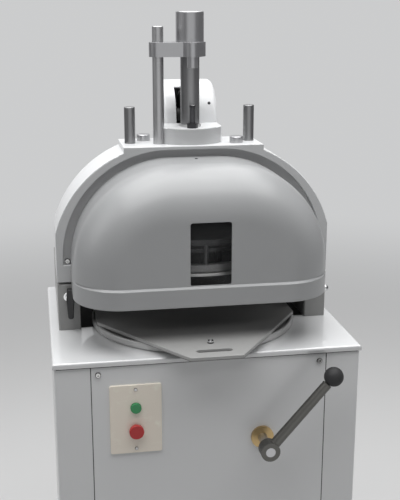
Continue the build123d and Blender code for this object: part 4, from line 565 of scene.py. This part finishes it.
def bead(middle_r, half_width, half_height, place, along):
    """Ring with an oval section: radius and height are the cosine and sine of one angle, scaled."""
    turn = np.linspace(0.0, 2 * np.pi, 16, endpoint=False)
    return turned(middle_r + half_width * np.cos(turn), half_height * np.sin(turn), place, along)


def button(radius, rise, place, along):
    """Button head: a quarter oval from its rim to its crown, and a hair-thin core that closes it."""
    turn = np.linspace(0.0, np.pi / 2, 8)
    core = radius * BUTTON_CORE
    profile = np.concatenate(([core], radius * np.cos(turn) + core))
    height = np.concatenate(([-rise * BUTTON_SINK], rise * np.sin(turn)))
    return turned(profile, height, place, along, count=24)


def sleeve(place):
    """Metal sleeve over the eyelet's tube: a hooked section, down outside, over the rim and into the hole."""
    outer, inner = EYELET_R + SLEEVE_FIT, EYELET_HOLE_R - SLEEVE_FIT
    top = EYELET_RISE + SLEEVE_FIT
    turn = np.linspace(0.0, np.pi, 9)
    middle, half = (outer + inner) / 2, (outer - inner) / 2 + SLEEVE_WALL
    outside = [outer, outer + SLEEVE_WALL]
    inside = [inner - SLEEVE_WALL, inner, inner, outer]
    radius = np.concatenate((outside, middle + half * np.cos(turn), inside))
    low = EYELET_RISE - SLEEVE_DEPTH
    height = np.concatenate(([0.0, 0.0], top + SLEEVE_WALL * np.sin(turn), [low, low, top, top]))
    return turned(radius, height, place, UPWARD)


def thread(radius, rise, pitch, low, high, place):
    """Screw thread: radius swings by a cosine of height over pitch less the angle; its core closes it."""
    height = np.concatenate(([0.0], np.arange(0.0, high - low, pitch / THREAD_STEPS), [high - low]))
    inner = np.zeros(len(height))
    inner[[0, -1]] = THREAD_CORE * rise

    def wave(angle):
        swing = np.cos(2 * np.pi * height[:, None] / pitch - angle)
        return radius + rise * (0.5 + 0.5 * swing) - inner[:, None]
    return turned(wave, height, (*place, low), UPWARD, count=48)


def strip(half_width, half_depth, start, end, face):
    """Straight strip on a face: an oval section carried from start to end, closed by hair-thin cores."""
    start, end, face = np.array(start), np.array(end), np.array(face)
    across = np.cross(face, (end - start) / np.linalg.norm(end - start))
    turn = np.linspace(0.0, 2 * np.pi, 12, endpoint=False)[:, None]
    section = half_width * np.cos(turn) * across + half_depth * np.sin(turn) * face
    scale = np.array((SHADOW_STRIP_CORE, 1.0, 1.0, SHADOW_STRIP_CORE))[:, None, None]
    return np.stack((start, start, end, end))[:, None, :] + scale * section


def middle_of(node):
    low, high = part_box(node)
    return (np.array(low) + np.array(high)) / 2


eyelet_place = (0.0, TOP_FRONT + EYELET_SETBACK, PLATE_FACE)
surface("eyelet_sleeve", sleeve(eyelet_place), "chrome", "plate")
# Black ring round the tube's foot: a painted contact shadow.
eyelet_shadow_ring = bead(EYELET_SHADOW_RING_R, EYELET_SHADOW_RING_HALF, EYELET_SHADOW_RING_HALF, eyelet_place, UPWARD)
surface("eyelet_shadow_ring", eyelet_shadow_ring, "belt_rubber", "plate")

panel_low, panel_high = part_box("front_panel")
cabinet_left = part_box("left_side_panel")[0][0]
cabinet_right, cabinet_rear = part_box("right_side_panel")[1][:2]
front_y = panel_low[1]
lip_z = TOP_Z - LIP_SHADOW_STRIP_DROP
# Dark strips in the front panel's seams and under the worktop's lip: painted shadow.
for side, x in (("left", panel_low[0] - HALF_SEAM), ("right", panel_high[0] + HALF_SEAM)):
    seam_shadow_strip = strip(SHADOW_STRIP_HALF_WIDTH, SHADOW_STRIP_RISE, (x, front_y, panel_low[2]), (x, front_y, lip_z), FRONTWARD)
    surface(side + "_seam_seal", seam_shadow_strip, "belt_rubber", "cabinet")
lip_start = (cabinet_left + FOLD_ROUND, front_y, lip_z)
lip_end = (cabinet_right - FOLD_ROUND, front_y, lip_z)
lip_seal = strip(LIP_SHADOW_STRIP_HALF_WIDTH, SHADOW_STRIP_RISE, lip_start, lip_end, FRONTWARD)
surface("front_lip_seal", lip_seal, "belt_rubber", "cabinet")
for side, x, way in (("left", cabinet_left, LEFTWARD), ("right", cabinet_right, RIGHTWARD)):
    side_start = (x, front_y + FOLD_ROUND, lip_z)
    lip_seal = strip(LIP_SHADOW_STRIP_HALF_WIDTH, SHADOW_STRIP_RISE, side_start, (x, cabinet_rear, lip_z), way)
    surface(side + "_lip_seal", lip_seal, "belt_rubber", "cabinet")

stop_low, stop_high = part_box("depth_stop")
stop_middle = middle_of("depth_stop")[:2]
stop_thread = thread(
    THREAD_R, THREAD_RISE, THREAD_PITCH, stop_low[2] + STOP_NUT, stop_high[2] - STOP_HEAD, stop_middle
)
surface("stop_thread", stop_thread, "dark_steel", "head")
stop_crown = button(STOP_CROWN_R, STOP_CROWN_RISE, (*stop_middle, stop_high[2]), UPWARD)
surface("stop_crown", stop_crown, "chrome", "head")

cover_screw = (0.0, TOP_FRONT + COVER_SCREW_BACK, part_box("front_cover")[1][2])
surface("cover_top_screw", button(BUTTON_R, BUTTON_RISE, cover_screw, UPWARD), "dark_steel", "head")

hood_low, hood_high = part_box("gear_hood")
hood_radius = (hood_high[1] - hood_low[1]) / 2
hood_way = np.array((0.0, -np.cos(radians(HOOD_SCREW_TURN)), np.sin(radians(HOOD_SCREW_TURN))))
hood_middle = np.array((HOOD_SCREW_SIDE, hood_low[1] + hood_radius, hood_high[2] - hood_radius))
hood_screw = hood_middle + hood_radius * hood_way
surface("hood_screw", button(BUTTON_R, BUTTON_RISE, hood_screw, hood_way), "dark_steel", "head")


def soft_box(name, place, aim, size, power):
    """Flat lamp at a place, turned to a point; its size is in metres and its power in watts."""
    lamp = bpy.data.lights.new(name, "AREA")
    lamp.shape = "RECTANGLE"
    lamp.size, lamp.size_y = size
    lamp.energy = power
    holder = bpy.data.objects.new(name, lamp)
    bpy.context.scene.collection.objects.link(holder)
    holder.location = place
    away = np.array(aim, float) - np.array(place, float)
    holder.rotation_euler = (np.arccos(-away[2] / np.linalg.norm(away)), 0.0, np.arctan2(-away[0], away[1]))


soft_box("top_light", (-0.12, 0.70, 3.2), (0.0, 0.10, 1.0), (3.0, 1.6), 42.0)
soft_box("brow_light", (0.10, -0.75, 3.4), (0.0, 0.0, 1.1), (4.4, 2.0), 86.0)
soft_box("left_light", (-2.7, -0.15, 2.3), (0.0, 0.0, 1.1), (1.4, 1.6), 17.0)
soft_box("right_light", (2.7, -0.15, 2.3), (0.0, 0.0, 1.1), (1.4, 1.6), 14.0)
soft_box("front_light", (0.25, -1.75, 0.45), (0.05, -0.22, 0.68), (1.6, 0.7), 2.0)


def grey_flag(name, x):
    """Upright grey sheet beside the machine that only mirrors show, so that plated rods have shaded sides."""
    (y0, y1), (z0, z1) = FLAG_DEPTH, FLAG_HEIGHT
    mesh = bpy.data.meshes.new(name)
    mesh.from_pydata([(x, y0, z0), (x, y1, z0), (x, y1, z1), (x, y0, z1)], [], [(0, 1, 2, 3)])
    finish = Finish(name)
    finish.set(Base_Color=(0.0, 0.0, 0.0, 1.0), Roughness=1.0)
    finish.set(Emission_Color=(*FLAG_TONE, 1.0), Emission_Strength=1.0)
    finish.material.cycles.emission_sampling = "NONE"
    mesh.materials.append(finish.material)
    flag = bpy.data.objects.new(name, mesh)
    bpy.context.scene.collection.objects.link(flag)
    flag.visible_camera = False
    flag.visible_diffuse = False
    flag.visible_transmission = False
    flag.visible_shadow = False


def seen_rays(tree):
    """Socket: 1 for rays from the camera, a mirror or a clear sheet, and 0 for rays that give light."""
    path = tree.nodes.new("ShaderNodeLightPath")
    total = path.outputs["Is Camera Ray"]
    for name in ("Is Glossy Ray", "Is Transmission Ray"):
        either = tree.nodes.new("ShaderNodeMath")
        either.operation = "MAXIMUM"
        tree.links.new(total, either.inputs[0])
        tree.links.new(path.outputs[name], either.inputs[1])
        total = either.outputs[0]
    return total


def studio_floor():
    """Pale floor: a flat sheet that keeps the machine's shadow and fades to the studio's tone far off."""
    reach = FLOOR_REACH
    mesh = bpy.data.meshes.new("floor")
    corners = [(-reach, -reach, 0.0), (reach, -reach, 0.0), (reach, reach, 0.0), (-reach, reach, 0.0)]
    mesh.from_pydata(corners, [], [(0, 1, 2, 3)])
    finish = Finish("floor_sheet")
    cloud = finish.noise(0.8, 3.0, 0.5)
    dim = tuple(0.97 * part for part in FLOOR_TONE)
    shown = Value(finish, seen_rays(finish.tree))
    tone = finish.mix(cloud, FLOOR_TONE, dim)
    finish.set(Base_Color=finish.mix(shown, FLOOR_BOUNCE, tone), Roughness=0.7)
    away = finish.vectors("LENGTH", finish.place, output="Value")
    sockets = {"Value": away, "From Min": FLOOR_NEAR, "From Max": FLOOR_FAR}
    fade = finish.node("ShaderNodeMapRange", {"interpolation_type": "SMOOTHSTEP"}, sockets)
    glow = finish.node("ShaderNodeEmission", None, {"Color": (*STUDIO_TONE, 1.0)})
    lit = Value(finish, finish.shader.outputs[0])
    blend = finish.node("ShaderNodeMixShader", None, {0: fade * shown, 1: lit, 2: glow})
    finish.put(finish.tree.nodes["Material Output"].inputs["Surface"], blend)
    mesh.materials.append(finish.material)
    floor = bpy.data.objects.new("floor", mesh)
    bpy.context.scene.collection.objects.link(floor)


def studio_world():
    """Even pale surroundings: full tone where seen or mirrored, weaker where they light the machine."""
    world = bpy.data.worlds.new("studio")
    bpy.context.scene.world = world
    world.use_nodes = True
    nodes, links = world.node_tree.nodes, world.node_tree.links
    back = nodes["Background"]
    back.inputs["Color"].default_value = (*STUDIO_TONE, 1.0)
    strength = nodes.new("ShaderNodeMapRange")
    strength.inputs["To Min"].default_value = STUDIO_LIGHT
    strength.inputs["To Max"].default_value = 1.0
    links.new(seen_rays(world.node_tree), strength.inputs["Value"])
    links.new(strength.outputs[0], back.inputs["Strength"])


def photo_camera():
    """Camera at the photograph's place, turned right of straight ahead and down."""
    lens = bpy.data.cameras.new("camera")
    lens.sensor_width = SENSOR
    lens.lens = CAMERA_LENS
    holder = bpy.data.objects.new("camera", lens)
    bpy.context.scene.collection.objects.link(holder)
    holder.location = CAMERA_PLACE
    holder.rotation_euler = (radians(90.0 - CAMERA_DOWN), 0.0, radians(-CAMERA_RIGHT))
    bpy.context.scene.camera = holder


studio_floor()
studio_world()
grey_flag("left_flag", -FLAG_SIDE)
grey_flag("right_flag", FLAG_SIDE)
photo_camera()
bpy.context.scene.view_settings.view_transform = "Standard"
